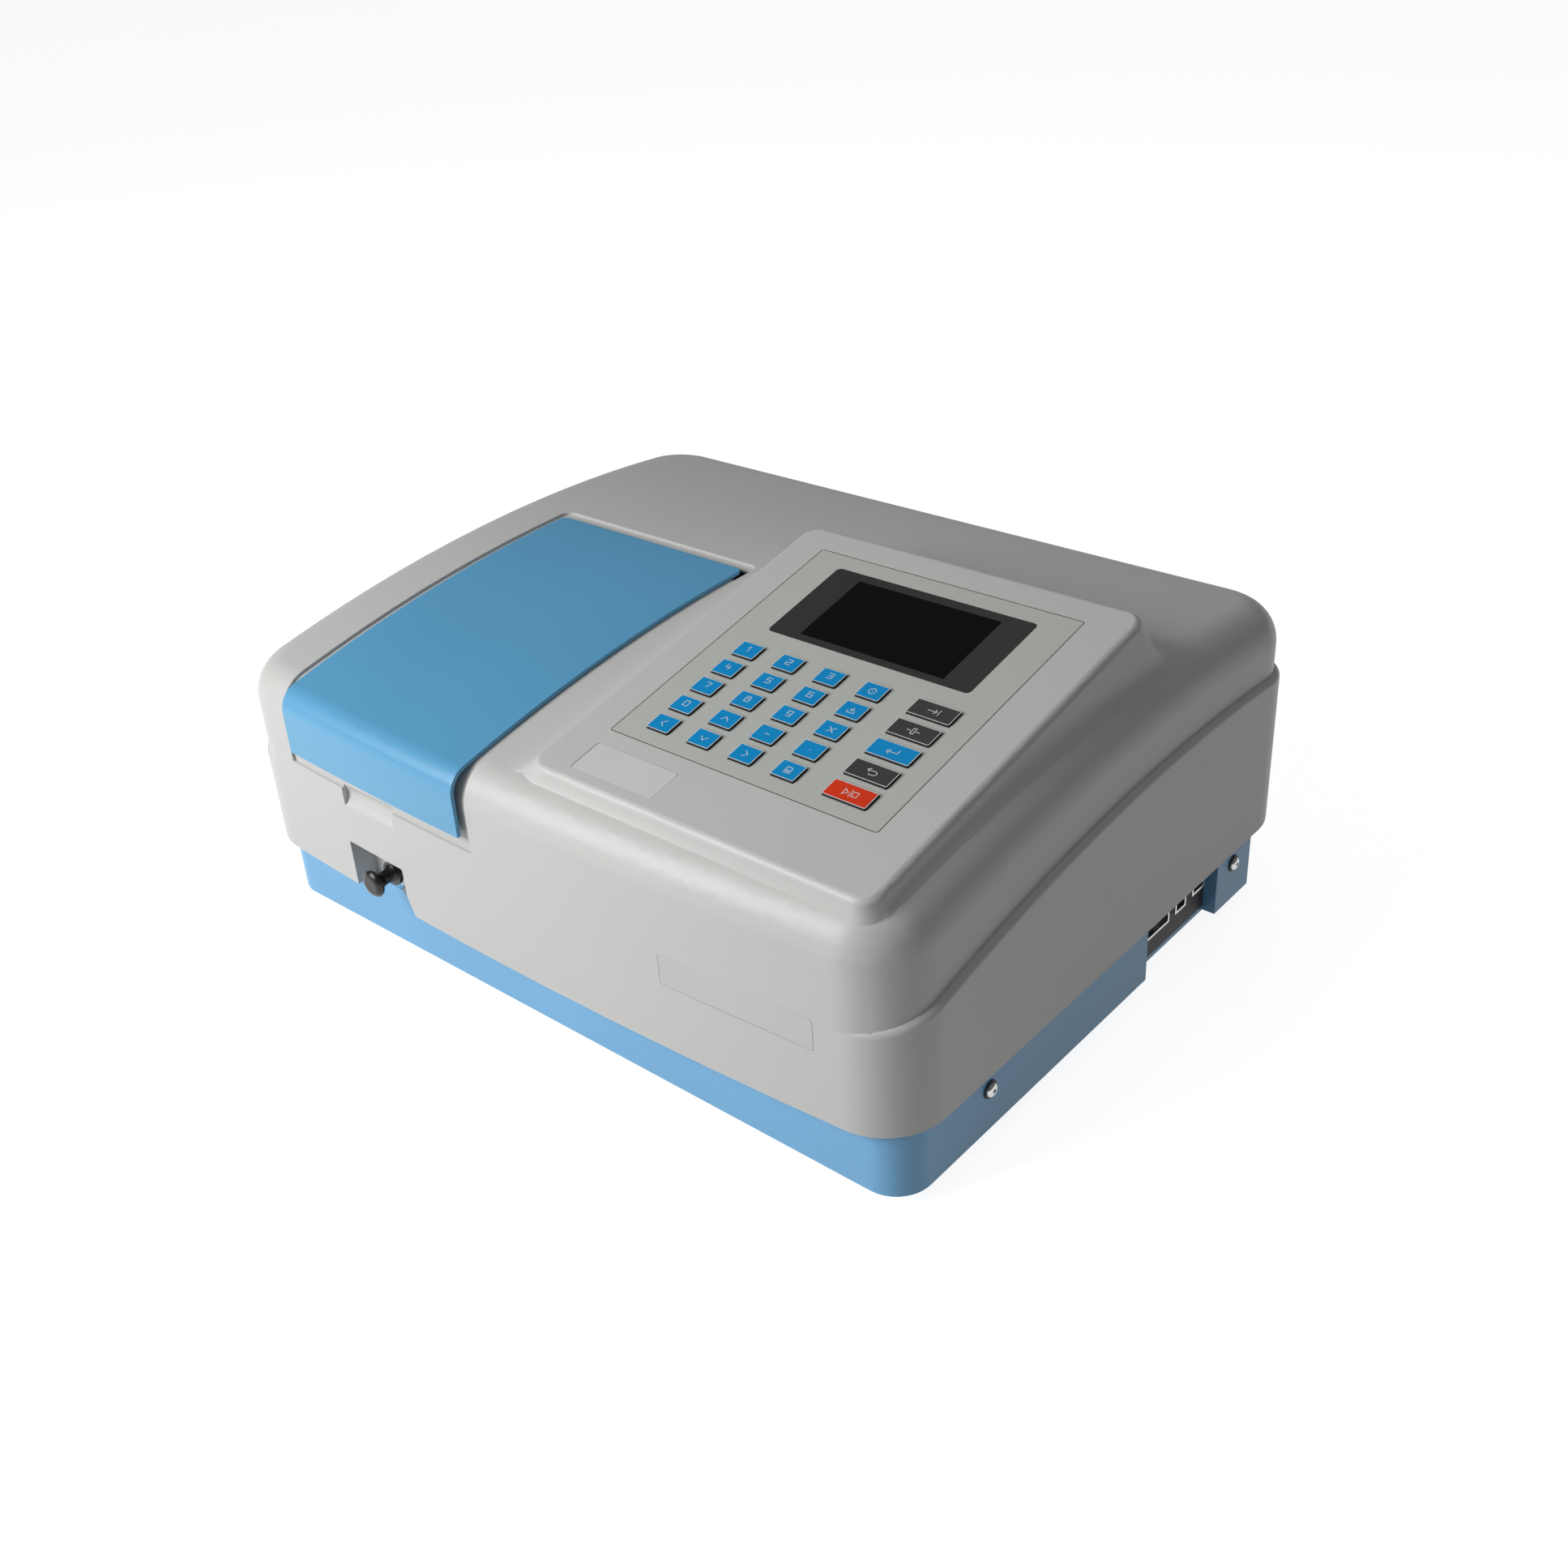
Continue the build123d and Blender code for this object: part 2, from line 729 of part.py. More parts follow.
def base_tray():
    """Open tray with rounded front corners, feet recesses, notch, grille and posts."""
    outline = Pos(base_centre_x, base_centre_y, foot_height) * Rectangle(base_width, base_depth)
    outline = fillet([v for v in outline.vertices() if v.Y < 0], base_corner_radius)
    inner = Pos(base_centre_x, base_centre_y, floor_z) * Rectangle(
        base_width - 2 * base_wall, base_depth - 2 * base_wall
    )
    inner = fillet([v for v in inner.vertices() if v.Y < 0], base_corner_radius - base_wall)
    tray = extrude(outline, base_height) - extrude(inner, base_height)
    shelf = block(
        base_left_x + base_corner_radius, base_right_x - base_corner_radius, base_front_y + base_wall / 2,
        base_front_y + tray_flange, seam_z - base_wall, seam_z,
    )
    tray = tray + shelf
    notch_floor = base_right_x - notch_depth
    for y in (notch_front_y, notch_rear_y):
        near, far = (y - base_wall, y) if y == notch_front_y else (y, y + base_wall)
        tray = tray + block(notch_floor - base_wall, base_right_x, near, far, foot_height, seam_z)
    tray = tray - block(notch_floor, base_right_x + 5, notch_front_y, notch_rear_y, 0, seam_z + 5)
    for x, y in foot_places():
        tray = tray + rod((x, y, foot_height), (x, y, floor_z + foot_recess), foot_radius + base_wall)
        tray = tray - rod((x, y, foot_height - 1), (x, y, foot_height + foot_recess), foot_radius)
    for x, y in plate_posts():
        tray = tray + rod((x, y, floor_z - 1), (x, y, plate_z), boss_radius)
    for x in (main_board_left + 6, main_board_right - 6):
        for y in (main_board_front_y + 6, main_board_rear_y - 6):
            tray = tray + rod((x, y, floor_z - 1), (x, y, main_board_z), 4)
    for x in (lamp_box_left + boss_inset, lamp_box_right - boss_inset):
        for y in (lamp_box_front_y + boss_inset, lamp_box_rear_y - boss_inset):
            tray = tray + rod((x, y, floor_z - 1), (x, y, lamp_floor_z), 4)
    for side, wall_x in side_walls():
        for y in screw_ys:
            start = (wall_x - side * (base_wall + 1), y, screw_z)
            tray = tray - rod(start, (wall_x + side, y, screw_z), screw_radius + screw_gap)
    for x, width, height, z in (
        (inlet_x, inlet_body_width, inlet_body_height, inlet_z),
        (switch_x, switch_body_width, switch_body_height, inlet_z),
    ):
        tray = tray - block(
            x - width / 2, x + width / 2, base_rear_y - base_wall - 1, base_rear_y + 1,
            z - height / 2, z + height / 2,
        )
    return tray - floor_grille()


def foot_places():
    """Centres of the four feet."""
    reach_x = base_width / 2 - foot_inset_x
    reach_y = base_depth / 2 - foot_inset_y
    return [(base_centre_x + sx * reach_x, base_centre_y + sy * reach_y) for sx in (-1, 1) for sy in (-1, 1)]


def plate_posts():
    """Centres of the four posts under the optical plate."""
    xs = (plate_left + boss_inset, plate_right - boss_inset)
    ys = (plate_front_y + boss_inset, plate_rear_y - boss_inset)
    return [(x, y) for x in xs for y in ys]


def floor_grille():
    """Slots through the tray's floor under the fan."""
    slots = None
    for i in range(grille_slots):
        x = fan_x + (i - (grille_slots - 1) / 2) * grille_slot_pitch
        reach = math.sqrt(fan_bore_radius**2 - (x - fan_x) ** 2) - 1
        half = grille_slot_width / 2
        slot = block(x - half, x + half, fan_y - reach, fan_y + reach, foot_height - 1, floor_z + 1)
        slots = slot if slots is None else slots + slot
    return slots


def rubber_feet():
    """Four turned rubber feet."""
    feet = []
    for x, y in foot_places():
        foot = rod((x, y, 0), (x, y, foot_height + foot_recess), foot_radius - 0.05)
        feet.append(chamfer(foot.faces().sort_by(Axis.Z)[0].edges(), 1.0))
    return Compound(children=feet)


def cover_screws():
    """Pan-head screws, each with its washer, in the tray's side walls."""
    pieces = []
    for side, face in side_walls():
        for y in screw_ys:
            seat = face + side * washer_thickness
            top = seat + side * screw_head_height
            head = rod((seat, y, screw_z), (top, y, screw_z), screw_head_radius)
            outer_face = head.faces().sort_by(Axis.X)[-1 if side > 0 else 0]
            head = fillet(outer_face.edges(), screw_head_height * 0.7)
            socket = Plane(origin=(top, y, screw_z), z_dir=(-side, 0, 0))
            head = head - extrude(socket * RegularPolygon(1.6, 6), 1.3)
            shank = rod((seat, y, screw_z), (face - side * screw_length, y, screw_z), screw_radius - 0.05)
            washer = rod((face, y, screw_z), (seat, y, screw_z), washer_radius)
            washer = washer - rod((face - side, y, screw_z), (seat + side, y, screw_z), screw_radius)
            pieces += [head + shank, washer]
    return Compound(children=pieces)


def connector_panel():
    """Black plate across the notch, with holes for the data ports."""
    outer = base_right_x - notch_depth
    plate = block(
        outer - panel_sheet, outer, notch_front_y, notch_rear_y, floor_z + 0.2, seam_z
    )
    for y, z, width, height in port_places():
        plate = plate - block(
            outer - 5, outer + 5, y - width / 2 - fit_gap, y + width / 2 + fit_gap,
            z - height / 2 - fit_gap, z + height / 2 + fit_gap,
        )
    return plate


def port_places():
    """Centre, width and height of each data port on the black plate."""
    span = notch_rear_y - notch_front_y
    z = floor_z + 22
    return [
        (notch_front_y + 0.22 * span, z, 31.0, 12.5),
        (notch_front_y + 0.58 * span, z, 12.0, 11.0),
        (notch_front_y + 0.84 * span, z, 14.5, 7.5),
    ]


def data_ports():
    """Serial and two bus sockets that look out through the black plate."""
    outer = base_right_x - notch_depth
    ports = []
    for y, z, width, height in port_places():
        shell = block(outer - 9, outer + 3, y - width / 2, y + width / 2, z - height / 2, z + height / 2)
        wall = 1.4
        cavity = block(
            outer - 5, outer + 4, y - width / 2 + wall, y + width / 2 - wall,
            z - height / 2 + wall, z + height / 2 - wall,
        )
        tongue = block(
            outer - 6, outer + 1.5, y - width / 4, y + width / 4, z - height / 12, z + height / 12
        )
        ports.append(shell - cavity + tongue)
    return Compound(children=ports)


def mains_inlet():
    """Three-pin mains inlet, clipped into the tray's rear wall."""
    face = base_rear_y
    body = block(
        inlet_x - inlet_body_width / 2 + fit_gap, inlet_x + inlet_body_width / 2 - fit_gap,
        face - inlet_body_depth, face,
        inlet_z - inlet_body_height / 2 + fit_gap, inlet_z + inlet_body_height / 2 - fit_gap,
    )
    flange = block(
        inlet_x - inlet_flange_width / 2, inlet_x + inlet_flange_width / 2,
        face, face + inlet_flange_thickness,
        inlet_z - inlet_flange_height / 2, inlet_z + inlet_flange_height / 2,
    )
    cavity = block(
        inlet_x - inlet_cavity_width / 2, inlet_x + inlet_cavity_width / 2,
        face + inlet_flange_thickness - inlet_cavity_depth, face + inlet_flange_thickness + 1,
        inlet_z - inlet_cavity_height / 2, inlet_z + inlet_cavity_height / 2,
    )
    cavity = chamfer(cavity.edges().filter_by(Axis.Y).group_by(Axis.Z)[-1], inlet_chamfer)
    inlet = body + fillet(flange.edges().filter_by(Axis.Y), 2.0) - cavity
    floor_y = face + inlet_flange_thickness - inlet_cavity_depth
    for dx, dz in ((-7, -2.5), (7, -2.5), (0, 2.5)):
        inlet = inlet + block(
            inlet_x + dx - 1, inlet_x + dx + 1, floor_y - 1, floor_y + inlet_cavity_depth - 4,
            inlet_z + dz - 2, inlet_z + dz + 2,
        )
    return inlet


def power_switch_parts():
    """Switch frame (joined to the inlet's node) and its rocker."""
    face = base_rear_y
    frame = block(
        switch_x - switch_flange_width / 2, switch_x + switch_flange_width / 2,
        face, face + switch_flange_thickness,
        inlet_z - switch_flange_height / 2, inlet_z + switch_flange_height / 2,
    )
    frame = fillet(frame.edges().filter_by(Axis.Y), 1.0)
    frame = frame + block(
        switch_x - switch_body_width / 2 + fit_gap, switch_x + switch_body_width / 2 - fit_gap,
        face - switch_body_depth, face,
        inlet_z - switch_body_height / 2 + fit_gap, inlet_z + switch_body_height / 2 - fit_gap,
    )
    swing = rocker_width / 2 + rocker_swing_gap
    frame = frame - block(
        switch_x - swing, switch_x + swing, face - 6, face + 5,
        inlet_z - rocker_height / 2 - 0.3, inlet_z + rocker_height / 2 + 0.3,
    )
    return frame


def power_switch():
    """The rocker, dished and set on its 'off' side; it tips about a pin along Z."""
    face = base_rear_y
    half = rocker_width / 2
    rise = half * math.tan(math.radians(rocker_tilt))
    front = face + switch_flange_thickness + 1.0
    outline = Polyline(
        (switch_x - half, front + rise), (switch_x, front), (switch_x + half, front + rise),
        (switch_x + half * 0.55, face - 2.2), (switch_x - half * 0.55, face - 2.2), close=True,
    )
    rocker = extrude(Pos(0, 0, inlet_z - rocker_height / 2) * make_face(outline), rocker_height)
    return Pos(switch_x, face, 0) * Rot(0, 0, rocker_tilt) * Pos(-switch_x, -face, 0) * rocker


def fan_frame():
    """Square fan frame with four struts to its hub."""
    z0 = floor_z
    z1 = floor_z + fan_thickness
    half = fan_size / 2
    frame = block(fan_x - half, fan_x + half, fan_y - half, fan_y + half, z0, z1)
    frame = fillet(frame.edges().filter_by(Axis.Z), 4.0)
    frame = frame - rod((fan_x, fan_y, z0 - 1), (fan_x, fan_y, z1 + 1), fan_bore_radius)
    strut = fan_strut_width / 2
    top = z1 - 2.0
    for angle in (45, 135):
        arm = block(-fan_bore_radius - 1, fan_bore_radius + 1, -strut, strut, top, z1)
        frame = frame + Pos(fan_x, fan_y, 0) * Rot(0, 0, angle) * arm
    frame = frame + rod((fan_x, fan_y, top), (fan_x, fan_y, z1), fan_hub_radius)
    return frame + rod((fan_x, fan_y, z0 + 2), (fan_x, fan_y, z1), 1.5)


def fan_rotor():
    """Hub with pitched blades that turns on the frame's pin."""
    low = floor_z + 1.5
    high = floor_z + fan_thickness - 2.6
    rotor = rod((fan_x, fan_y, low), (fan_x, fan_y, high), fan_hub_radius)
    for i in range(fan_blades):
        blade = Pos((fan_hub_radius + fan_blade_radius) / 2 - 1, 0, (low + high) / 2) * Rot(35, 0, 0) * Box(
            fan_blade_radius - fan_hub_radius, 13.0, 1.4
        )
        rotor = rotor + Pos(fan_x, fan_y, 0) * Rot(0, 0, i * 360 / fan_blades) * blade
    return rotor - rod((fan_x, fan_y, 0), (fan_x, fan_y, high + 1), 1.5 + running_clearance)


def optical_plate():
    """Flat plate on posts that carries the whole light path."""
    plate = block(plate_left, plate_right, plate_front_y, plate_rear_y, plate_z, plate_top)
    plate = fillet(plate.edges().filter_by(Axis.Z), 8.0)
    return plate - rod((grating_x, grating_y, 0), (grating_x, grating_y, 100), shaft_radius + 0.5)


def sample_box():
    """Black sample compartment, open at the top, with beam holes and rod holes."""
    top = under_arch(roof_height - box_rim_drop, roof_peak_y, roof_radius - box_rim_drop)
    box = block(box_left, box_right, box_front_y, box_rear_y, plate_top, 300) & top
    box = box - block(
        box_left + box_wall, box_right - box_wall, box_front_y + box_wall, box_rear_y - box_wall,
        plate_top + box_wall, 300,
    )
    box = box - rod((box_left - 1, beam_y, beam_z), (box_right + 1, beam_y, beam_z), beam_hole_radius)
    for side in (-1, 1):
        x = carriage_x + side * guide_offset
        box = box - rod((x, box_front_y - 1, guide_z), (x, box_rear_y + 1, guide_z), guide_radius)
    front_hole = (carriage_x, box_front_y - 1, pull_rod_z), (carriage_x, box_front_y + 10, pull_rod_z)
    return box - rod(*front_hole, pull_rod_radius + running_clearance)


def carriage_rods():
    """Two guide rods held in the sample box's end walls."""
    rods = []
    for side in (-1, 1):
        x = carriage_x + side * guide_offset
        rods.append(rod((x, box_front_y, guide_z), (x, box_rear_y, guide_z), guide_radius))
    return Compound(children=rods)


def holder_ends():
    """Front and rear faces of the cell holder, pushed home."""
    front = beam_y - cell_pitch / 2 - holder_wall
    return front, beam_y + (cell_count - 0.5) * cell_pitch + holder_wall


def cell_carriage():
    """Slide plate with two long bores, and the holder with a pocket for each cell."""
    front, rear = holder_ends()
    low = guide_z - slide_plate_height / 2
    top = guide_z + slide_plate_height / 2
    half = cell_outer / 2 + cell_fit
    plate = block(carriage_x - slide_plate_half, carriage_x + slide_plate_half, front, rear, low, top)
    holder = block(
        carriage_x - half - holder_wall, carriage_x + half + holder_wall,
        front, rear, top, top + holder_height,
    )
    body = plate + holder
    for i in range(cell_count):
        y = beam_y + i * cell_pitch
        body = body - block(
            carriage_x - half, carriage_x + half, y - half, y + half, top + holder_floor, top + 100
        )
        body = body - rod((carriage_x - 50, y, beam_z), (carriage_x + 50, y, beam_z), beam_hole_radius - 1)
    for side in (-1, 1):
        x = carriage_x + side * guide_offset
        body = body - rod((x, front - 1, guide_z), (x, rear + 1, guide_z), guide_radius + running_clearance)
    return body


def cuvettes():
    """Four square glass cells, open at the top."""
    cells = []
    floor = guide_z + slide_plate_height / 2 + holder_floor
    half = cell_outer / 2
    inner = half - cell_wall
    for i in range(cell_count):
        y = beam_y + i * cell_pitch
        cell = block(carriage_x - half, carriage_x + half, y - half, y + half, floor, floor + cell_height)
        cells.append(cell - block(
            carriage_x - inner, carriage_x + inner, y - inner, y + inner, floor + cell_floor, floor + 100
        ))
    return Compound(children=cells)


def pull_rod():
    """Steel rod from the holder's front face to the knob."""
    knob_end = (carriage_x, knob_front_y + knob_length, pull_rod_z)
    holder_end = (carriage_x, holder_ends()[0], pull_rod_z)
    return rod(knob_end, holder_end, pull_rod_radius)


def puller_knob():
    """Black waisted knob, turned about the rod's axis."""
    length = knob_length
    cap_edge = knob_cap_radius - 1.2
    flange_start = length - knob_flange_thickness
    profile = [
        Line((0, 0), (cap_edge - 3, 0)),
        ThreePointArc((cap_edge - 3, 0), (cap_edge - 0.2, 0.75), (knob_cap_radius, knob_cap_thickness * 0.6)),
        Line((knob_cap_radius, knob_cap_thickness * 0.6), (knob_cap_radius - 0.5, knob_cap_thickness)),
        ThreePointArc(
            (knob_cap_radius - 0.5, knob_cap_thickness), (knob_neck_radius + 0.35, length * 0.5),
            (knob_flange_radius - 1.6, flange_start),
        ),
        Line((knob_flange_radius - 1.6, flange_start), (knob_flange_radius, flange_start)),
        Line((knob_flange_radius, flange_start), (knob_flange_radius, length)),
        Line((knob_flange_radius, length), (0, length)),
        Line((0, length), (0, 0)),
    ]
    turned = revolve(make_face(profile), Axis.Y, 360)
    return Pos(carriage_x, knob_front_y, pull_rod_z) * turned


def lid_ear_places():
    """Where the lid's two ears stand."""
    return (lid_left + ear_inset, lid_right - ear_inset)


def sample_lid():
    """Bent lid with side skirts and two ears that hang on the hinge pins."""
    outer = lid_blank(0, 0, 0)
    outer = outer & block(-300, 300, -300, lid_rear_y, 0, 400)
    rear = outer.edges().filter_by(Axis.Z).group_by(Axis.Y)[-1]
    outer = fillet(rear, lid_corner_radius)
    skin_front = lid_thickness
    inner = lid_blank(lid_thickness, skin_front, -1)
    inner = inner + Pos(0, 0, -20) * inner
    lid = outer - inner
    for x in lid_ear_places():
        ear = rod((x - ear_width / 2, pivot_y, pivot_z), (x + ear_width / 2, pivot_y, pivot_z), ear_radius)
        web = block(
            x - ear_width / 2, x + ear_width / 2,
            pivot_y - ear_radius, pivot_y + ear_radius, pivot_z, roof_height,
        ) & under_arch(roof_height + lid_proud - 1, roof_peak_y, roof_radius + lid_proud - 1)
        bore_radius = hinge_pin_radius + running_clearance
        lid = lid + ear + web
        lid = lid - rod((x - 10, pivot_y, pivot_z), (x + 10, pivot_y, pivot_z), bore_radius)
    return lid


def lid_hinge():
    """Clevis brackets on the sample box's rear wall, with their pins."""
    parts = []
    for x in lid_ear_places():
        near = ear_width / 2 + hinge_side_gap
        far = near + hinge_plate_width
        outline = Polyline(
            (box_rear_y, pivot_z - 22), (box_rear_y, pivot_z - 3), (pivot_y - 2, pivot_z + ear_radius - 1),
            (pivot_y + 2.4, pivot_z + ear_radius - 1), (pivot_y + ear_radius, pivot_z),
            (pivot_y + 1, pivot_z - 9), close=True,
        )
        side = Plane(origin=(0, 0, 0), x_dir=(0, 1, 0), z_dir=(1, 0, 0))
        plates = [
            Pos(x - far, 0, 0) * extrude(side * make_face(outline), hinge_plate_width),
            Pos(x + near, 0, 0) * extrude(side * make_face(outline), hinge_plate_width),
        ]
        foot = block(x - far, x + far, box_rear_y, box_rear_y + 3, pivot_z - 22, pivot_z - 10)
        pin = rod((x - far, pivot_y, pivot_z), (x + far, pivot_y, pivot_z), hinge_pin_radius)
        parts.append(plates[0] + plates[1] + foot + pin)
    return Compound(children=parts)


def lid_seal():
    """Foam frame under the lid that closes on the sample box's rim."""
    top = under_arch(
        roof_height + lid_proud - lid_thickness, roof_peak_y, roof_radius + lid_proud - lid_thickness
    )
    low = under_arch(
        roof_height + lid_proud - lid_thickness - seal_thickness, roof_peak_y,
        roof_radius + lid_proud - lid_thickness - seal_thickness,
    )
    margin = seal_width - box_wall
    frame = block(box_left, box_right, box_front_y, box_rear_y - 2, 100, 300)
    frame = frame - block(
        box_left + seal_width, box_right - seal_width, box_front_y + seal_width,
        box_rear_y - 2 - margin, 90, 310,
    )
    return (frame & top) - low


def mono_housing():
    """Monochromator case on the optical plate, with slits and an axle bore."""
    case = block(mono_left, mono_right, mono_front_y, mono_rear_y, plate_top, plate_top + mono_height)
    case = fillet(case.edges().filter_by(Axis.Z), 6.0)
    case = case - block(
        mono_left + mono_wall, mono_right - mono_wall, mono_front_y + mono_wall, mono_rear_y - mono_wall,
        plate_top + mono_wall, plate_top + mono_height + 1,
    )
    case = case - block(mono_left - 1, mono_left + 5, beam_y - 1.5, beam_y + 1.5, beam_z - 6, beam_z + 6)
    case = case - block(
        mono_right - 5, mono_right + 1, source_y - 1.5, source_y + 1.5, beam_z - 6, beam_z + 6
    )
    axle = wheel_axle_radius + running_clearance
    wheel_z = beam_z - wheel_orbit
    case = case - rod((mono_right - 5, source_y, wheel_z), (mono_right + 1, source_y, wheel_z), axle)
    return case - rod((grating_x, grating_y, 0), (grating_x, grating_y, 60), shaft_radius + 0.5)


def grating_table():
    """Turntable with the ruled grating, on the stepper's shaft."""
    floor = plate_top + mono_wall + 1
    base = floor + table_thickness
    shaft_foot = (grating_x, grating_y, plate_z - stepper_height + 1)
    shaft = rod(shaft_foot, (grating_x, grating_y, floor), shaft_radius)
    table = rod((grating_x, grating_y, floor), (grating_x, grating_y, base), table_radius)
    half = grating_size / 2
    grating = block(-half, half, -grating_thickness / 2, grating_thickness / 2, base, beam_z + half)
    return shaft + table + Pos(grating_x, grating_y, 0) * Rot(0, 0, 25) * grating


def mono_mirrors():
    """Two collimating mirrors on feet inside the case."""
    mirrors = []
    floor = plate_top + mono_wall
    half = mirror_size / 2
    for x, y, angle in mirror_spots:
        mirror = block(-half, half, 0, mirror_thickness, floor + 8, beam_z + half - 8)
        foot = block(-half * 0.6, half * 0.6, -4, mirror_thickness + 4, floor, floor + 8)
        mirrors.append(Pos(x, y, 0) * Rot(0, 0, angle) * (mirror + foot))
    return Compound(children=mirrors)


def filter_wheel():
    """Disc with a ring of filter holes on an axle along X."""
    wheel_z = beam_z - wheel_orbit
    disc = rod((wheel_x, source_y, wheel_z), (wheel_x + wheel_thickness, source_y, wheel_z), wheel_radius)
    for i in range(wheel_filters):
        angle = math.radians(90 + i * 360 / wheel_filters)
        y = source_y + wheel_orbit * math.cos(angle)
        z = wheel_z + wheel_orbit * math.sin(angle)
        disc = disc - rod((wheel_x - 1, y, z), (wheel_x + 5, y, z), wheel_filter_radius)
    start = mono_right - mono_wall - small_stepper_height
    return disc + rod((start, source_y, wheel_z), (wheel_x, source_y, wheel_z), wheel_axle_radius)


def steppers():
    """Three stepper motors: grating, filter wheel and lamp mirror."""
    top = plate_z
    grating = rod((grating_x, grating_y, top - stepper_height), (grating_x, grating_y, top), stepper_radius)
    bore_radius = shaft_radius + running_clearance
    grating = grating - rod((grating_x, grating_y, 0), (grating_x, grating_y, 100), bore_radius)
    wheel_z = beam_z - wheel_orbit
    end = mono_right - mono_wall
    start = end - small_stepper_height
    wheel = rod((start, source_y, wheel_z), (end, source_y, wheel_z), small_stepper_radius)
    bore_radius = wheel_axle_radius + running_clearance
    wheel = wheel - rod((0, source_y, wheel_z), (300, source_y, wheel_z), bore_radius)
    floor = lamp_floor_z + lamp_box_wall
    top = floor + small_stepper_height
    mirror = rod((mirror_post_x, source_y, floor), (mirror_post_x, source_y, top), small_stepper_radius)
    bore_radius = mirror_post_radius + running_clearance
    mirror = mirror - rod((mirror_post_x, source_y, floor + 2), (mirror_post_x, source_y, 100), bore_radius)
    return Compound(children=[grating, wheel, mirror])


def lamp_housing():
    """Sheet-metal lamp box, open at the top, with a light port and cooling slots."""
    box = block(
        lamp_box_left, lamp_box_right, lamp_box_front_y, lamp_box_rear_y,
        lamp_floor_z, floor_z + lamp_box_height,
    )
    wall = lamp_box_wall
    box = box - block(
        lamp_box_left + wall, lamp_box_right - wall, lamp_box_front_y + wall, lamp_box_rear_y - wall,
        lamp_floor_z + wall, floor_z + lamp_box_height + 1,
    )
    box = box - rod((lamp_box_left - 1, source_y, beam_z), (lamp_box_left + 5, source_y, beam_z), 7)
    for i in range(lamp_slots):
        y = lamp_box_front_y + (i + 0.5) * (lamp_box_rear_y - lamp_box_front_y) / lamp_slots
        box = box - block(lamp_box_right - 5, lamp_box_right + 1, y - 2, y + 2, floor_z + 30, floor_z + 70)
    return box


def lamp_mirror():
    """Mirror on a post that turns to pick one lamp or the other."""
    floor = lamp_floor_z + lamp_box_wall
    half = lamp_mirror_size / 2
    thick = lamp_mirror_thickness / 2
    post_foot = (mirror_post_x, source_y, floor + 3)
    post = rod(post_foot, (mirror_post_x, source_y, beam_z - half), mirror_post_radius)
    mirror = block(-half, half, -thick, thick, beam_z - half, beam_z + half)
    return post + Pos(mirror_post_x, source_y, 0) * Rot(0, 0, 45) * mirror


def tungsten_lamp():
    """Halogen capsule in a ceramic socket."""
    floor = lamp_floor_z + lamp_box_wall
    x = lamp_box_right - 22
    socket = block(x - 8, x + 8, tungsten_y - 6, tungsten_y + 6, floor, beam_z - 14)
    bulb = rod((x, tungsten_y, beam_z - 14), (x, tungsten_y, beam_z + 12), 5.0)
    return socket + fillet(bulb.faces().sort_by(Axis.Z)[-1].edges(), 4.0)


def deuterium_lamp():
    """Large glass lamp with a flange at its base."""
    floor = lamp_floor_z + lamp_box_wall
    x = mirror_post_x
    flange = rod((x, deuterium_y, floor), (x, deuterium_y, floor + 26), 17.0)
    bulb = rod((x, deuterium_y, floor + 26), (x, deuterium_y, beam_z + 22), 14.0)
    return flange + fillet(bulb.faces().sort_by(Axis.Z)[-1].edges(), 10.0)


def detector_unit():
    """Detector block left of the sample box, with its lens facing the beam."""
    right = box_left
    unit = block(
        detector_left, right - 3, beam_y - detector_size / 2, beam_y + detector_size / 2,
        plate_top, plate_top + 58,
    )
    unit = fillet(unit.edges().filter_by(Axis.Z), 3.0)
    snout = rod((right - 3.5, beam_y, beam_z), (right, beam_y, beam_z), detector_lens_radius + 3)
    return unit + snout - rod((right - 8, beam_y, beam_z), (right + 1, beam_y, beam_z), detector_lens_radius)


def power_supply():
    """Cased supply on the tray's floor, with a slotted top."""
    case = block(
        supply_left, supply_right, supply_front_y, supply_rear_y, floor_z, floor_z + supply_height
    )
    for i in range(8):
        x = supply_left + (i + 0.5) * (supply_right - supply_left) / 8
        case = case - block(
            x - 2, x + 2, supply_front_y + 10, supply_rear_y - 10, floor_z + supply_height - 3, floor_z + 100
        )
    return case


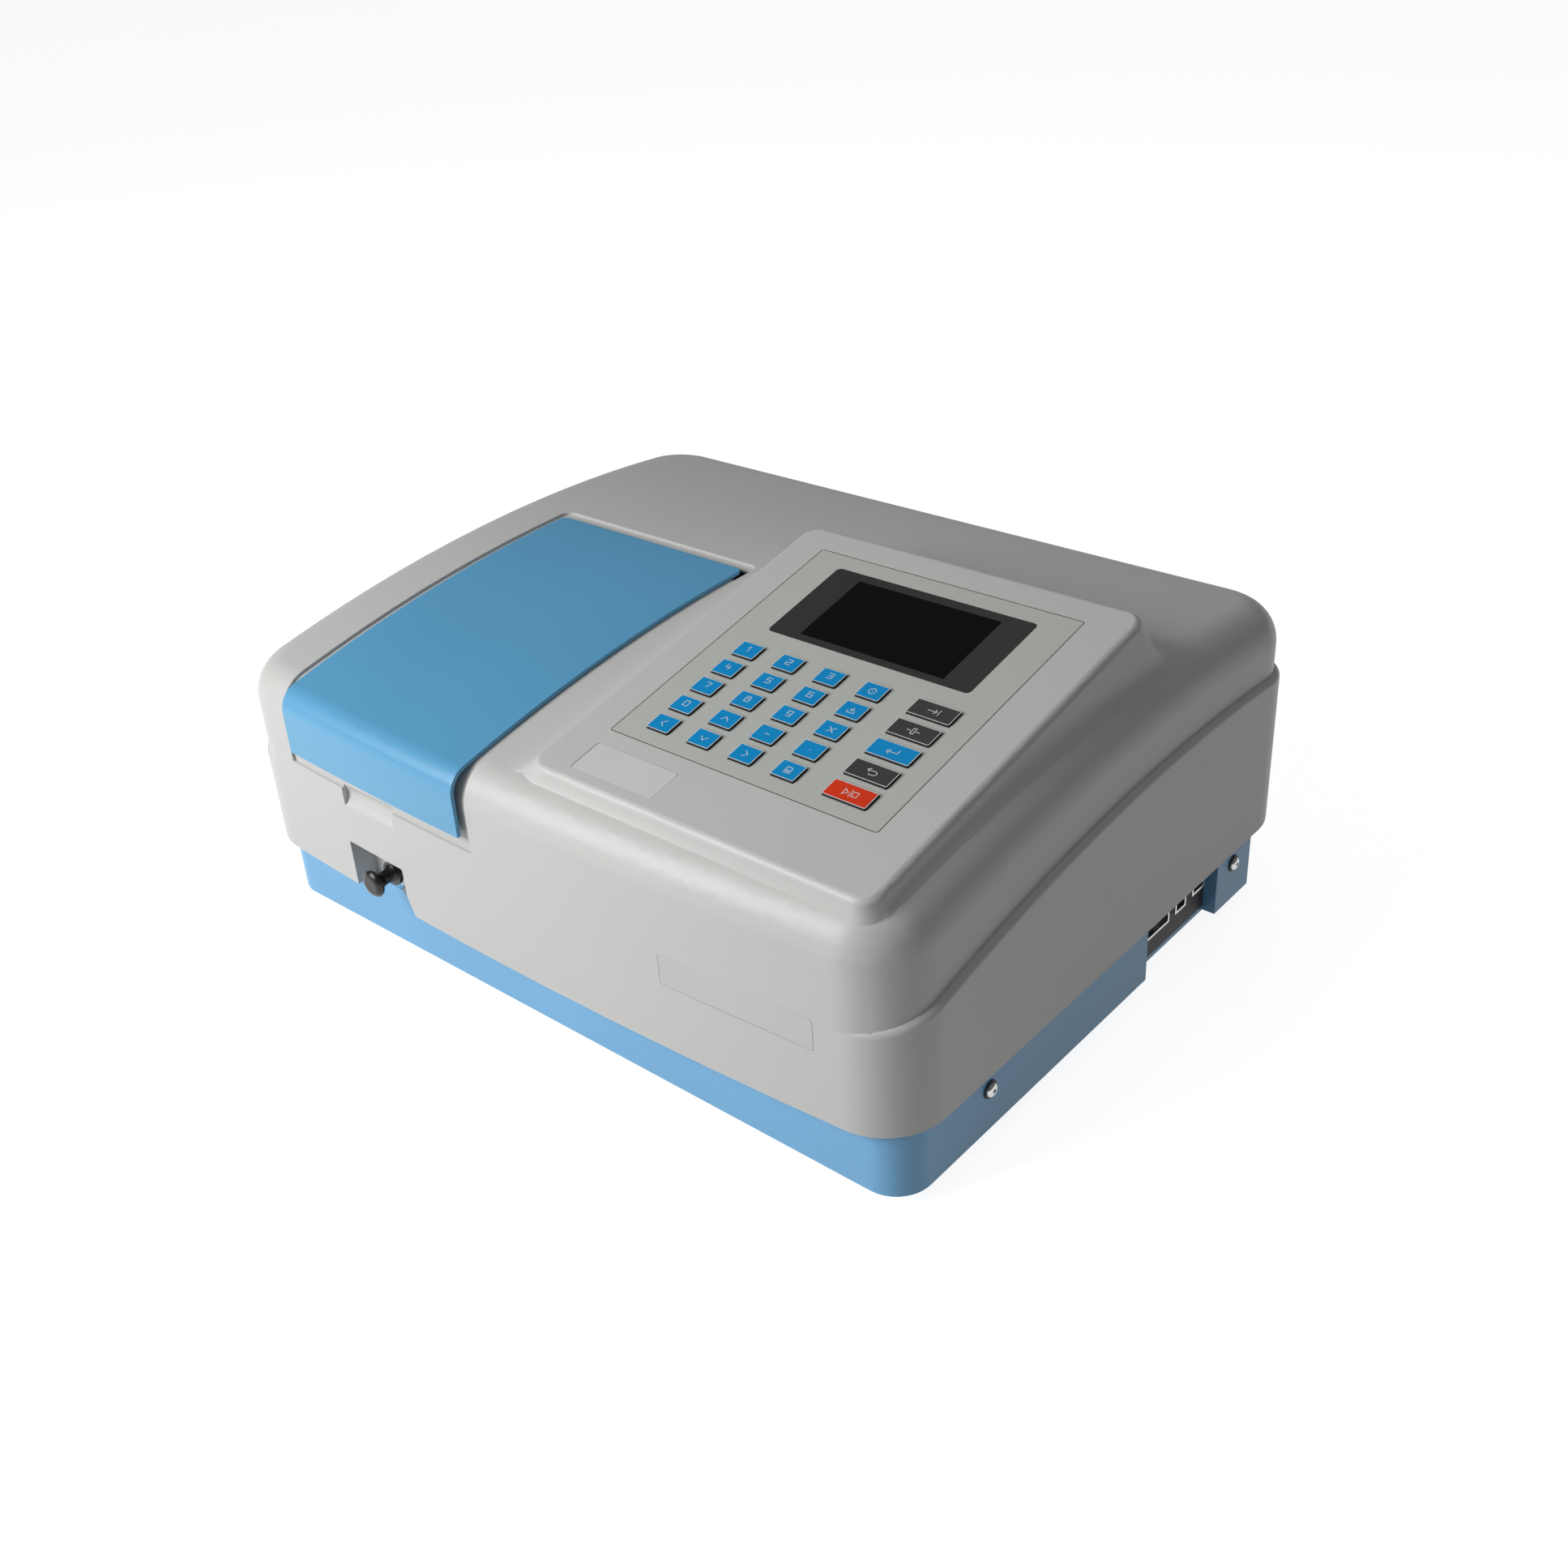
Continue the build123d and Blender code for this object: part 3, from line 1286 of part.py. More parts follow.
def build_all():
    """Every node's name and solid."""
    nodes = {
        "base_tray": base_tray(),
        "rubber_feet": rubber_feet(),
        "top_cover": top_cover(),
        "cover_screws": cover_screws(),
        "connector_panel": connector_panel(),
        "data_ports": data_ports(),
        "mains_inlet": Compound(children=[mains_inlet(), power_switch_parts()]),
        "power_switch": power_switch(),
        "fan_frame": fan_frame(),
        "fan_rotor": fan_rotor(),
        "optical_plate": optical_plate(),
        "sample_box": sample_box(),
        "sample_lid": sample_lid(),
        "lid_hinge": lid_hinge(),
        "lid_seal": lid_seal(),
        "cell_carriage": cell_carriage(),
        "carriage_rods": carriage_rods(),
        "pull_rod": pull_rod(),
        "puller_knob": puller_knob(),
        "cuvettes": cuvettes(),
        "keypad_overlay": keypad_overlay(),
        "display_window": display_window(),
        "display_module": display_module(),
        "circuit_boards": circuit_boards(),
        "power_supply": power_supply(),
        "lamp_housing": lamp_housing(),
        "tungsten_lamp": tungsten_lamp(),
        "deuterium_lamp": deuterium_lamp(),
        "lamp_mirror": lamp_mirror(),
        "mono_housing": mono_housing(),
        "grating_table": grating_table(),
        "mono_mirrors": mono_mirrors(),
        "filter_wheel": filter_wheel(),
        "detector_unit": detector_unit(),
        "steppers": steppers(),
    }
    for name, u, v, width in key_list():
        nodes[name] = key_cap(u, v, width)
    return nodes


os.makedirs("parts", exist_ok=True)
for node_name, solid in build_all().items():
    export_step(solid, f"parts/{node_name}.step")
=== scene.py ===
"""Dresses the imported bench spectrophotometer: mouldings, printed keys, fasteners, finishes, studio."""

import bpy
import bmesh
import math
from bpy.props import FloatProperty, FloatVectorProperty, IntProperty, PointerProperty
from mathutils import Euler, Matrix, Vector
from mathutils.bvhtree import BVHTree


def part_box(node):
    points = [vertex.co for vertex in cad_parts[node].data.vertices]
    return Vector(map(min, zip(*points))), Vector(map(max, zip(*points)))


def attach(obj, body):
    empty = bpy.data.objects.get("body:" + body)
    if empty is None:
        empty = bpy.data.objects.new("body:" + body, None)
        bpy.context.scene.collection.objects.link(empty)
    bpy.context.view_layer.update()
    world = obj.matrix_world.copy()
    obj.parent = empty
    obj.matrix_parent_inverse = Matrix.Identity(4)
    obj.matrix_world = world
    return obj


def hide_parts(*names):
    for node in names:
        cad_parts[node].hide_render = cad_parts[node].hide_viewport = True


bl_info = {
    "name": "Bench Spectrophotometer",
    "version": (1, 0, 0),
    "blender": (4, 5, 0),
    "location": "View3D > Sidebar > Spectrophotometer",
    "description": "Builds the finished pieces of a bench spectrophotometer over its CAD frame",
    "category": "Object",
}

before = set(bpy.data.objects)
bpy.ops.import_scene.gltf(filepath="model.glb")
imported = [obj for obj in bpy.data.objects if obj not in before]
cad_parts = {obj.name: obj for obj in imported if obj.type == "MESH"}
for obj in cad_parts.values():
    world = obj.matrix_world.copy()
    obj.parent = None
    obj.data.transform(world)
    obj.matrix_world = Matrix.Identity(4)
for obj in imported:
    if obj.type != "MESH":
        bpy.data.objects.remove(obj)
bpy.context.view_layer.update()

MM = 0.001
PANEL_ORIGIN = Vector((52.1, -56.2, 200.0)) * MM
PANEL_TILT = math.radians(11.85)
PLATFORM = (-45.1, 174.9, -124.5, 114.6)
PLATFORM_CORNER = 12.0
BANKS = tuple(math.tan(math.radians(a)) for a in (48.0, 6.0, 14.0, 20.0))
ROOF = (192.2, 56.6, 1041.0)
ROOF_EDGE = 24.0
BODY_HALF_WIDTH = 245.0
BODY_FRONT = -196.0
BODY_REAR = 202.0
BODY_CORNER = 36.0
FRONT_BOW = 3200.0
LID_GROOVE_X = -27.0
KEY_PITCH = (27.8, 17.1)
WIDE_KEY_U = 3 * 27.8 + 37.96
KEY_SIZE = (14.6, 26.2, 11.8)
KEY_TOP = 1.3
SCREEN = (15.5, 109.4, 25.1, 78.5)
TOP_PLATE = (-22.7, 33.6, -116.5, -94.5)
FRONT_PLATE_X = 152.5
FRONT_PLATE_Z = 97.8
FRONT_PLATE = (-47.3, 47.3, -9.0, 9.0)
PLATE_CORNER = 1.8
FILM = (-24.2, 148.7, -84.0, 95.8)
PRINT_EASE = 0.00008
SCREW_PLACES = (-0.1108, 0.1401)
SCREW_HEIGHT = 0.035
FOOT_INSET = (0.045, 0.042)
# Turned profiles, in millimetres: radius, height
WASHER = ((2.2, 0.0), (5.2, 0.0), (5.2, 0.65), (5.0, 0.8), (2.2, 0.8))
SCREW_HEAD = (
    (1.9, -8.2), (1.9, 0.7), (4.0, 0.8), (4.0, 1.25), (3.85, 1.8), (3.4, 2.3), (2.7, 2.7), (1.9, 2.95),
)
SOCKET_DEPTH = 1.6
FOOT_RADIUS = 10.8
FOOT_TOP = 11.0
KEY_SOFTBOX = ((-0.75, -1.4, 1.0), 1.0)
TOP_SOFTBOX = ((0.1, 0.4, 2.1), 2.2)
LIGHT_TARGET = (0, 0, 0.1)
FLOOR_HALF = 9
FLOOR_GLOW = 0.88
CAMERA_PLACE = (0.624878, -0.671502, 0.612015)
CAMERA_TURNS = (0.7319, 0.5248, -0.0612)
CAMERA_LENS = 40.31

# Strokes of the key marks, in half-widths and half-heights of the mark
DIGITS = {
    "0": [[(-1, -1), (1, -1), (1, 1), (-1, 1), (-1, -1)]],
    "1": [[(-0.45, 0.6), (0.1, 1), (0.1, -1)]],
    "2": [[(-1, 1), (1, 1), (1, 0.05), (-1, -0.15), (-1, -1), (1, -1)]],
    "3": [[(-1, 1), (1, 1), (1, -1), (-1, -1)], [(-0.6, 0), (1, 0)]],
    "4": [[(-0.7, 1), (-1, -0.2), (1, -0.2)], [(0.5, 0.5), (0.5, -1)]],
    "5": [[(1, 1), (-1, 1), (-1, 0.1), (1, 0.1), (1, -1), (-1, -1)]],
    "6": [[(0.8, 1), (-1, 1), (-1, -1), (1, -1), (1, 0.1), (-1, 0.1)]],
    "7": [[(-1, 1), (1, 1), (0, -1)]],
    "8": [
        [(-0.8, 0.05), (-0.8, 1), (0.8, 1), (0.8, 0.05)],
        [(-1, -1), (1, -1), (1, 0.05), (-1, 0.05), (-1, -1)],
    ],
    "9": [[(1, -0.1), (-1, -0.1), (-1, 1), (1, 1), (1, -1), (-0.8, -1)]],
}
MARKS = {
    "up": [[(-1, -0.5), (0, 0.7), (1, -0.5)]],
    "down": [[(-1, 0.5), (0, -0.7), (1, 0.5)]],
    "left": [[(0.5, 1), (-0.7, 0), (0.5, -1)]],
    "right": [[(-0.5, 1), (0.7, 0), (-0.5, -1)]],
    "dash": [[(-0.6, 0), (0.6, 0)]],
    "point": [[(-0.1, -0.05), (0.1, -0.05)]],
    "ring": [
        [(math.cos(a * math.pi / 8), math.sin(a * math.pi / 8)) for a in range(17)],
        [(-0.12, 0), (0.12, 0)],
    ],
    "to_bar": [[(-1.6, 0), (0.9, 0)], [(0.3, 0.7), (1.0, 0), (0.3, -0.7)], [(1.6, 1), (1.6, -1)]],
    "store": [
        [(0, 1), (0, -0.2)], [(-0.6, 0.3), (0, -0.3), (0.6, 0.3)], [(-1, -0.4), (-1, -1), (1, -1), (1, -0.4)],
    ],
    "level": [
        [(-1.8, 0), (-0.8, 0)], [(-0.4, -1), (0.4, -1), (0.4, 1), (-0.4, 1), (-0.4, -1)],
        [(0.8, 0), (1.8, 0)],
    ],
    "cross": [[(-0.9, 0.9), (0.9, -0.9)], [(-0.9, -0.9), (0.9, 0.9)]],
    "enter": [[(1.5, 0.9), (1.5, -0.3), (-1.3, -0.3)], [(-0.7, 0.4), (-1.5, -0.3), (-0.7, -1)]],
    "back": [
        [(-1.2, 0.5), (0.9, 0.5), (1.5, 0.1), (1.5, -0.5), (0.9, -0.9), (-0.4, -0.9)],
        [(-0.7, 1.1), (-1.4, 0.5), (-0.7, -0.1)],
    ],
    "sheet": [
        [(-0.8, -1), (0.8, -1), (0.8, 0.5), (0.3, 1), (-0.8, 1), (-0.8, -1)],
        [(-0.4, -0.1), (0.4, -0.1)], [(-0.4, -0.5), (0.4, -0.5)],
    ],
    "run_halt": [
        [(-1.8, 0.9), (-0.5, 0), (-1.8, -0.9), (-1.8, 0.9)], [(0.1, 1.1), (0.1, -1.1)],
        [(0.7, -0.8), (2.1, -0.8), (2.1, 0.8), (0.7, 0.8), (0.7, -0.8)],
    ],
}
KEY_MARKS = (
    ("1", "2", "3", "ring", "to_bar"),
    ("4", "5", "6", "store", "level"),
    ("7", "8", "9", "cross", "enter"),
    ("0", "up", "dash", "point", "back"),
    ("left", "down", "right", "sheet", "run_halt"),
)
DARK_KEYS = ("r1c5", "r2c5", "r4c5")

# Finishes: colour, or None where a setting gives it; roughness; what differs from a plain finish
FINISHES = {
    "moulded_cover_plastic": (None, 0.42, dict(grain=0.10, grain_scale=1500, tone=0.012, tone_scale=6)),
    "blue_tray_paint": (None, 0.40, dict(grain=0.16, grain_scale=650, tone=0.03, tone_scale=9)),
    "blue_lid_plastic": (None, 0.34, dict(grain=0.06, grain_scale=1300, tone=0.02, tone_scale=8)),
    "matt_keypad_film": (None, 0.48, dict(grain=0.05, grain_scale=2200, tone=0.008, tone_scale=10)),
    "blue_key_print": (
        None, 0.42, dict(specular=0.3, grain=0.06, grain_scale=2600, tone=0.02, tone_scale=60),
    ),
    "dark_key_print": (None, 0.45, dict(grain=0.06, grain_scale=2600, tone=0.06, tone_scale=60)),
    "run_key_print": (
        None, 0.42, dict(specular=0.3, grain=0.06, grain_scale=2600, tone=0.03, tone_scale=60),
    ),
    "black_moulded_plastic": ((0.018, 0.018, 0.019), 0.38, dict(grain=0.1, grain_scale=1100, tone=0.15)),
    "turned_black_knob": ((0.006, 0.006, 0.007), 0.30, dict(grain=0.03, grain_scale=1400, tone=0.1)),
    "matt_black_paint": ((0.014, 0.014, 0.015), 0.62, dict(grain=0.2, grain_scale=800, tone=0.12)),
    "black_rubber": ((0.022, 0.022, 0.022), 0.78, dict(grain=0.3, grain_scale=600, tone=0.2, specular=0.3)),
    "closed_cell_foam": ((0.02, 0.02, 0.021), 0.9, dict(grain=0.7, grain_scale=1600, tone=0.3, specular=0.2)),
    "rocker_plastic": ((0.024, 0.024, 0.026), 0.3, dict(grain=0.04, tone=0.1)),
    "black_casting": ((0.016, 0.016, 0.017), 0.6, dict(grain=0.5, grain_scale=380, tone=0.2)),
    "black_anodised_aluminium": ((0.03, 0.03, 0.034), 0.4, dict(metallic=0.6, grain=0.08, tone=0.1)),
    "green_solder_mask": (
        (0.02, 0.16, 0.06), 0.35, dict(grain=0.2, grain_scale=420, tone=0.25, tone_scale=90),
    ),
    "bright_steel": ((0.62, 0.62, 0.61), 0.22, dict(metallic=1.0, tone=0.04, grain=0.02, grain_scale=700)),
    "ground_steel_rod": ((0.66, 0.66, 0.67), 0.18, dict(metallic=1.0, grain=0.05, stretch=(1, 0.04, 1))),
    "plated_sheet_metal": ((0.55, 0.56, 0.57), 0.36, dict(metallic=1.0, grain=0.05, stretch=(0.05, 1, 1))),
    "machined_aluminium": ((0.68, 0.69, 0.70), 0.30, dict(metallic=1.0, grain=0.06, stretch=(0.04, 1, 1))),
    "stepper_can": ((0.30, 0.30, 0.31), 0.35, dict(metallic=1.0, grain=0.05, stretch=(1, 1, 0.05))),
    "mirror_coating": ((0.9, 0.9, 0.92), 0.04, dict(metallic=1.0, spread=0.015, tone=0.01)),
    # painted highlight: the pale line round each key's face stands in for light on the key's top edge
    "pale_key_line": ((0.74, 0.76, 0.76), 0.45, dict(grain=0.03, grain_scale=2600, tone=0.02)),
    # painted shade: the near-black key sides stand in for the shade on the keys' lower and right sides
    "dark_key_skirt": ((0.010, 0.012, 0.016), 0.55, dict(grain=0.05, grain_scale=2000, tone=0.1)),
    "film_edge_shadow": ((0.05, 0.055, 0.055), 0.6, dict(grain=0.05, tone=0.1)),
    "dark_window_print": ((0.032, 0.032, 0.033), 0.34, dict(grain=0.04, grain_scale=1800, tone=0.05)),
    "dark_screen_glass": (
        (0.0035, 0.0024, 0.0014), 0.16, dict(tone=0.10, tone_scale=5, specular=0.15, grain=0.01),
    ),
    "screen_module_frame": ((0.03, 0.03, 0.032), 0.4, dict(metallic=0.3, grain=0.05, tone=0.1)),
    "blank_plate_print": ((0.66, 0.68, 0.665), 0.36, dict(grain=0.03, grain_scale=1800, tone=0.015)),
    "blank_front_plate": ((0.585, 0.59, 0.58), 0.38, dict(grain=0.03, grain_scale=1800, tone=0.012)),
}


# Finishes
def shader_tree(name):
    """A new material with its shader and texture coordinates."""
    material = bpy.data.materials.new(name)
    material.use_nodes = True
    tree = material.node_tree
    return material, tree, tree.nodes["Principled BSDF"], tree.nodes.new("ShaderNodeTexCoord")


def noise(tree, coordinates, scale, detail=3.0, stretch=None):
    """A noise texture on the object's own coordinates, drawn out where it is brushed."""
    node = tree.nodes.new("ShaderNodeTexNoise")
    node.inputs["Scale"].default_value = scale
    node.inputs["Detail"].default_value = detail
    source = coordinates.outputs["Object"]
    if stretch:
        mapping = tree.nodes.new("ShaderNodeMapping")
        mapping.inputs["Scale"].default_value = stretch
        tree.links.new(source, mapping.inputs["Vector"])
        source = mapping.outputs["Vector"]
    tree.links.new(source, node.inputs["Vector"])
    return node


def finish(name, colour, roughness, metallic=0.0, tone=0.03, tone_scale=14.0, spread=0.05, grain=0.0,
           grain_scale=900.0, stretch=None, coat=0.0, specular=0.5):
    """An opaque finish: base colour with slow variation, uneven gloss and a fine grain."""
    if name in bpy.data.materials:
        return bpy.data.materials[name]
    material, tree, shader, coordinates = shader_tree(name)
    shader.inputs["Metallic"].default_value = metallic
    shader.inputs["Coat Weight"].default_value = coat
    shader.inputs["Coat Roughness"].default_value = 0.12
    shader.inputs["Specular IOR Level"].default_value = specular
    slow = noise(tree, coordinates, tone_scale, 2.0)
    ramp = tree.nodes.new("ShaderNodeValToRGB")
    ramp.color_ramp.elements[0].position = 0.35
    ramp.color_ramp.elements[1].position = 0.65
    ramp.color_ramp.elements[0].color = [c * (1 - tone) for c in colour] + [1]
    ramp.color_ramp.elements[1].color = [min(c * (1 + tone), 1) for c in colour] + [1]
    tree.links.new(slow.outputs["Fac"], ramp.inputs["Fac"])
    tree.links.new(ramp.outputs["Color"], shader.inputs["Base Color"])
    fine = noise(tree, coordinates, grain_scale, 4.0, stretch)
    gloss = tree.nodes.new("ShaderNodeMapRange")
    gloss.inputs["To Min"].default_value = max(roughness - spread, 0.02)
    gloss.inputs["To Max"].default_value = min(roughness + spread, 1.0)
    tree.links.new(fine.outputs["Fac"], gloss.inputs["Value"])
    tree.links.new(gloss.outputs["Result"], shader.inputs["Roughness"])
    if grain:
        bump = tree.nodes.new("ShaderNodeBump")
        bump.inputs["Strength"].default_value = grain
        bump.inputs["Distance"].default_value = 0.0003
        tree.links.new(fine.outputs["Fac"], bump.inputs["Height"])
        tree.links.new(bump.outputs["Normal"], shader.inputs["Normal"])
    return material


def clear_glass(name, colour, roughness=0.02):
    """Clear glass with a faint tint and slightly uneven polish."""
    if name in bpy.data.materials:
        return bpy.data.materials[name]
    material, tree, shader, coordinates = shader_tree(name)
    shader.inputs["Base Color"].default_value = (*colour, 1)
    shader.inputs["Transmission Weight"].default_value = 1.0
    shader.inputs["IOR"].default_value = 1.46
    wear = noise(tree, coordinates, 120.0)
    gloss = tree.nodes.new("ShaderNodeMapRange")
    gloss.inputs["To Min"].default_value = roughness
    gloss.inputs["To Max"].default_value = roughness + 0.04
    tree.links.new(wear.outputs["Fac"], gloss.inputs["Value"])
    tree.links.new(gloss.outputs["Result"], shader.inputs["Roughness"])
    return material


def paint(name, chosen=None):
    """A finish from the table, in the colour that a setting has chosen if there is one."""
    colour, roughness, rest = FINISHES[name]
    return finish(name, colour if chosen is None else chosen, roughness, **rest)


# Mesh helpers
def new_piece(name, mesh):
    """Links a mesh into the scene as an object at the origin."""
    piece = bpy.data.objects.new(name, mesh)
    bpy.context.scene.collection.objects.link(piece)
    return piece


def baked(piece):
    """Replaces a piece's mesh by its evaluated result and drops its modifiers."""
    depsgraph = bpy.context.evaluated_depsgraph_get()
    result = bpy.data.meshes.new_from_object(piece.evaluated_get(depsgraph), depsgraph=depsgraph)
    piece.modifiers.clear()
    old = piece.data
    piece.data = result
    bpy.data.meshes.remove(old)
    result.name = piece.name
    return piece


def drop_shading(mesh):
    """Removes stored normals and sharp marks."""
    for layer in ("custom_normal", "sharp_face", "sharp_edge"):
        if layer in mesh.attributes:
            mesh.attributes.remove(mesh.attributes[layer])


def smooth_by_angle(mesh, degrees=32.0):
    """Smooth shading that keeps real corners crisp."""
    drop_shading(mesh)
    mesh.shade_smooth()
    mesh.set_sharp_from_angle(angle=math.radians(degrees))


def settle(piece, body, material=None, replaced=()):
    """Gives a finished piece its material and body, and hides the nodes it replaces."""
    if material:
        piece.data.materials.clear()
        piece.data.materials.append(material)
    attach(piece, body)
    if replaced:
        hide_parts(*replaced)
    return piece


def merged_copy(node, name, edge_round=0.0, extra=None):
    """A welded copy of a CAD node's triangles, with its sharp edges eased."""
    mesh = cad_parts[node].data.copy()
    drop_shading(mesh)
    shape = bmesh.new()
    shape.from_mesh(mesh)
    bmesh.ops.remove_doubles(shape, verts=shape.verts, dist=0.000004)
    bmesh.ops.dissolve_degenerate(shape, edges=shape.edges, dist=0.000002)
    if edge_round:
        bmesh.ops.dissolve_limit(shape, angle_limit=math.radians(0.2), verts=shape.verts, edges=shape.edges)
    shape.to_mesh(mesh)
    shape.free()
    mesh.materials.clear()
    piece = new_piece(name, mesh)
    if edge_round:
        ease = piece.modifiers.new("eased_edges", "BEVEL")
        ease.width = edge_round
        ease.segments = 2
        ease.limit_method = "ANGLE"
        ease.angle_limit = math.radians(50)
        baked(piece)
    if extra:
        joined = bmesh.new()
        joined.from_mesh(piece.data)
        points = [joined.verts.new(p) for p in extra[0]]
        for corners in extra[1]:
            joined.faces.new([points[i] for i in corners])
        joined.to_mesh(piece.data)
        joined.free()
    smooth_by_angle(piece.data)
    if edge_round:
        even = piece.modifiers.new("even_shading", "WEIGHTED_NORMAL")
        even.keep_sharp = True
        baked(piece)
    return piece


def dress(node, name, body, material, edge_round=0.0, extra=None):
    """Replaces a CAD node by its welded copy with a finish."""
    piece = merged_copy(node, name, edge_round, extra)
    return settle(piece, body, material, (node,))


def on_panel(u, v, height):
    """A point on the sloping panel, from millimetres to the frame's metres."""
    up = Vector((0, math.cos(PANEL_TILT), math.sin(PANEL_TILT)))
    out = Vector((0, -math.sin(PANEL_TILT), math.cos(PANEL_TILT)))
    return PANEL_ORIGIN + (Vector((u, 0, 0)) + v * up + height * out) * MM


def ribbon(shape, line, width, place, low, high):
    """One drawn stroke as a thin solid with mitred corners."""
    closed = line[0] == line[-1]
    points = [Vector(p) for p in (line[:-1] if closed else line)]
    count = len(points)
    if not closed:
        points[0] += (points[0] - points[1]).normalized() * width / 2
        points[-1] += (points[-1] - points[-2]).normalized() * width / 2
    sides = []
    for i, point in enumerate(points):
        before = points[i - 1] if closed or i else None
        after = points[(i + 1) % count] if closed or i < count - 1 else None
        ways = [(point - before).normalized()] if before is not None else []
        ways += [(after - point).normalized()] if after is not None else []
        normals = [Vector((-w.y, w.x)) for w in ways]
        middle = sum(normals, Vector((0, 0))).normalized()
        reach = width / 2 / max(middle.dot(normals[0]), 0.35)
        sides.append((point + middle * reach, point - middle * reach))
    rings = []
    for a, b in sides:
        corners = ((a, low), (b, low), (b, high), (a, high))
        rings.append([shape.verts.new(place(p.x, p.y, h)) for p, h in corners])
    steps = range(count if closed else count - 1)
    for i in steps:
        one, two = rings[i], rings[(i + 1) % count]
        for j in range(4):
            shape.faces.new((one[j], one[(j + 1) % 4], two[(j + 1) % 4], two[j]))
    if not closed:
        shape.faces.new(rings[0][::-1])
        shape.faces.new(rings[-1])


def rounded_outline(x0, x1, y0, y1, radius, steps=6):
    """Points round a rectangle with rounded corners."""
    points = []
    for cx, cy, start in ((x1 - radius, y0 + radius, -90), (x1 - radius, y1 - radius, 0),
                          (x0 + radius, y1 - radius, 90), (x0 + radius, y0 + radius, 180)):
        for i in range(steps + 1):
            turn = math.radians(start + 90 * i / steps)
            points.append((cx + radius * math.cos(turn), cy + radius * math.sin(turn)))
    return points


def plate(shape, outline, place, low, high, ease=0.0):
    """A thin flat plate over an outline; its upper rim is eased."""
    middle = Vector((sum(p[0] for p in outline) / len(outline), sum(p[1] for p in outline) / len(outline)))
    layers = [(low, 0.0), (high - ease, 0.0), (high, ease)] if ease else [(low, 0.0), (high, 0.0)]
    rings = []
    for height, inset in layers:
        ring = []
        for p in outline:
            point = Vector(p)
            point = point - (point - middle).normalized() * inset
            ring.append(shape.verts.new(place(point.x, point.y, height)))
        rings.append(ring)
    count = len(outline)
    for one, two in zip(rings, rings[1:]):
        for i in range(count):
            shape.faces.new((one[i], one[(i + 1) % count], two[(i + 1) % count], two[i]))
    shape.faces.new(rings[0][::-1])
    shape.faces.new(rings[-1])


def shape_piece(name, shape, body, material, smooth=35.0):
    """Turns a bmesh into a finished piece."""
    bmesh.ops.recalc_face_normals(shape, faces=shape.faces)
    mesh = bpy.data.meshes.new(name)
    shape.to_mesh(mesh)
    shape.free()
    smooth_by_angle(mesh, smooth)
    return settle(new_piece(name, mesh), body, material)


# Geometry node trees
def tree_with(name, sockets):
    """A geometry node tree with named inputs, its group input and its output."""
    tree = bpy.data.node_groups.new(name, "GeometryNodeTree")
    tree.interface.new_socket(name="Geometry", in_out="INPUT", socket_type="NodeSocketGeometry")
    for label, kind in sockets:
        tree.interface.new_socket(name=label, in_out="INPUT", socket_type=kind)
    tree.interface.new_socket(name="Geometry", in_out="OUTPUT", socket_type="NodeSocketGeometry")
    return tree, tree.nodes.new("NodeGroupInput"), tree.nodes.new("NodeGroupOutput")


def end_tree(tree, last, material_socket, output):
    """Ends a tree in Realize Instances and Set Material."""
    realize = tree.nodes.new("GeometryNodeRealizeInstances")
    paint = tree.nodes.new("GeometryNodeSetMaterial")
    tree.links.new(last, realize.inputs["Geometry"])
    tree.links.new(realize.outputs["Geometry"], paint.inputs["Geometry"])
    tree.links.new(material_socket, paint.inputs["Material"])
    tree.links.new(paint.outputs["Geometry"], output.inputs["Geometry"])


def key_plate_tree():
    """A rounded plate: the printed face of a key, or the pale line round it, which is a painted highlight of
    the key's top edge.
    """
    if "key_plate" in bpy.data.node_groups:
        return bpy.data.node_groups["key_plate"]
    tree, given, output = tree_with("key_plate", (
        ("Width", "NodeSocketFloat"), ("Depth", "NodeSocketFloat"), ("Corner", "NodeSocketFloat"),
        ("Thickness", "NodeSocketFloat"), ("Material", "NodeSocketMaterial"),
    ))
    sheet = tree.nodes.new("GeometryNodeCurvePrimitiveQuadrilateral")
    corner = tree.nodes.new("GeometryNodeFilletCurve")
    corner.mode = "POLY"
    corner.inputs["Count"].default_value = 4
    fill = tree.nodes.new("GeometryNodeFillCurve")
    fill.mode = "NGONS"
    raise_up = tree.nodes.new("GeometryNodeExtrudeMesh")
    raise_up.inputs["Individual"].default_value = False
    under = tree.nodes.new("GeometryNodeFlipFaces")
    together = tree.nodes.new("GeometryNodeJoinGeometry")
    weld = tree.nodes.new("GeometryNodeMergeByDistance")
    weld.inputs["Distance"].default_value = 0.000001
    tree.links.new(given.outputs["Width"], sheet.inputs["Width"])
    tree.links.new(given.outputs["Depth"], sheet.inputs["Height"])
    tree.links.new(sheet.outputs["Curve"], corner.inputs["Curve"])
    tree.links.new(given.outputs["Corner"], corner.inputs["Radius"])
    tree.links.new(corner.outputs["Curve"], fill.inputs["Curve"])
    tree.links.new(fill.outputs["Mesh"], raise_up.inputs["Mesh"])
    tree.links.new(given.outputs["Thickness"], raise_up.inputs["Offset Scale"])
    tree.links.new(fill.outputs["Mesh"], under.inputs["Mesh"])
    tree.links.new(raise_up.outputs["Mesh"], together.inputs["Geometry"])
    tree.links.new(under.outputs["Mesh"], together.inputs["Geometry"])
    tree.links.new(together.outputs["Geometry"], weld.inputs["Geometry"])
    end_tree(tree, weld.outputs["Geometry"], given.outputs["Material"], output)
    return tree


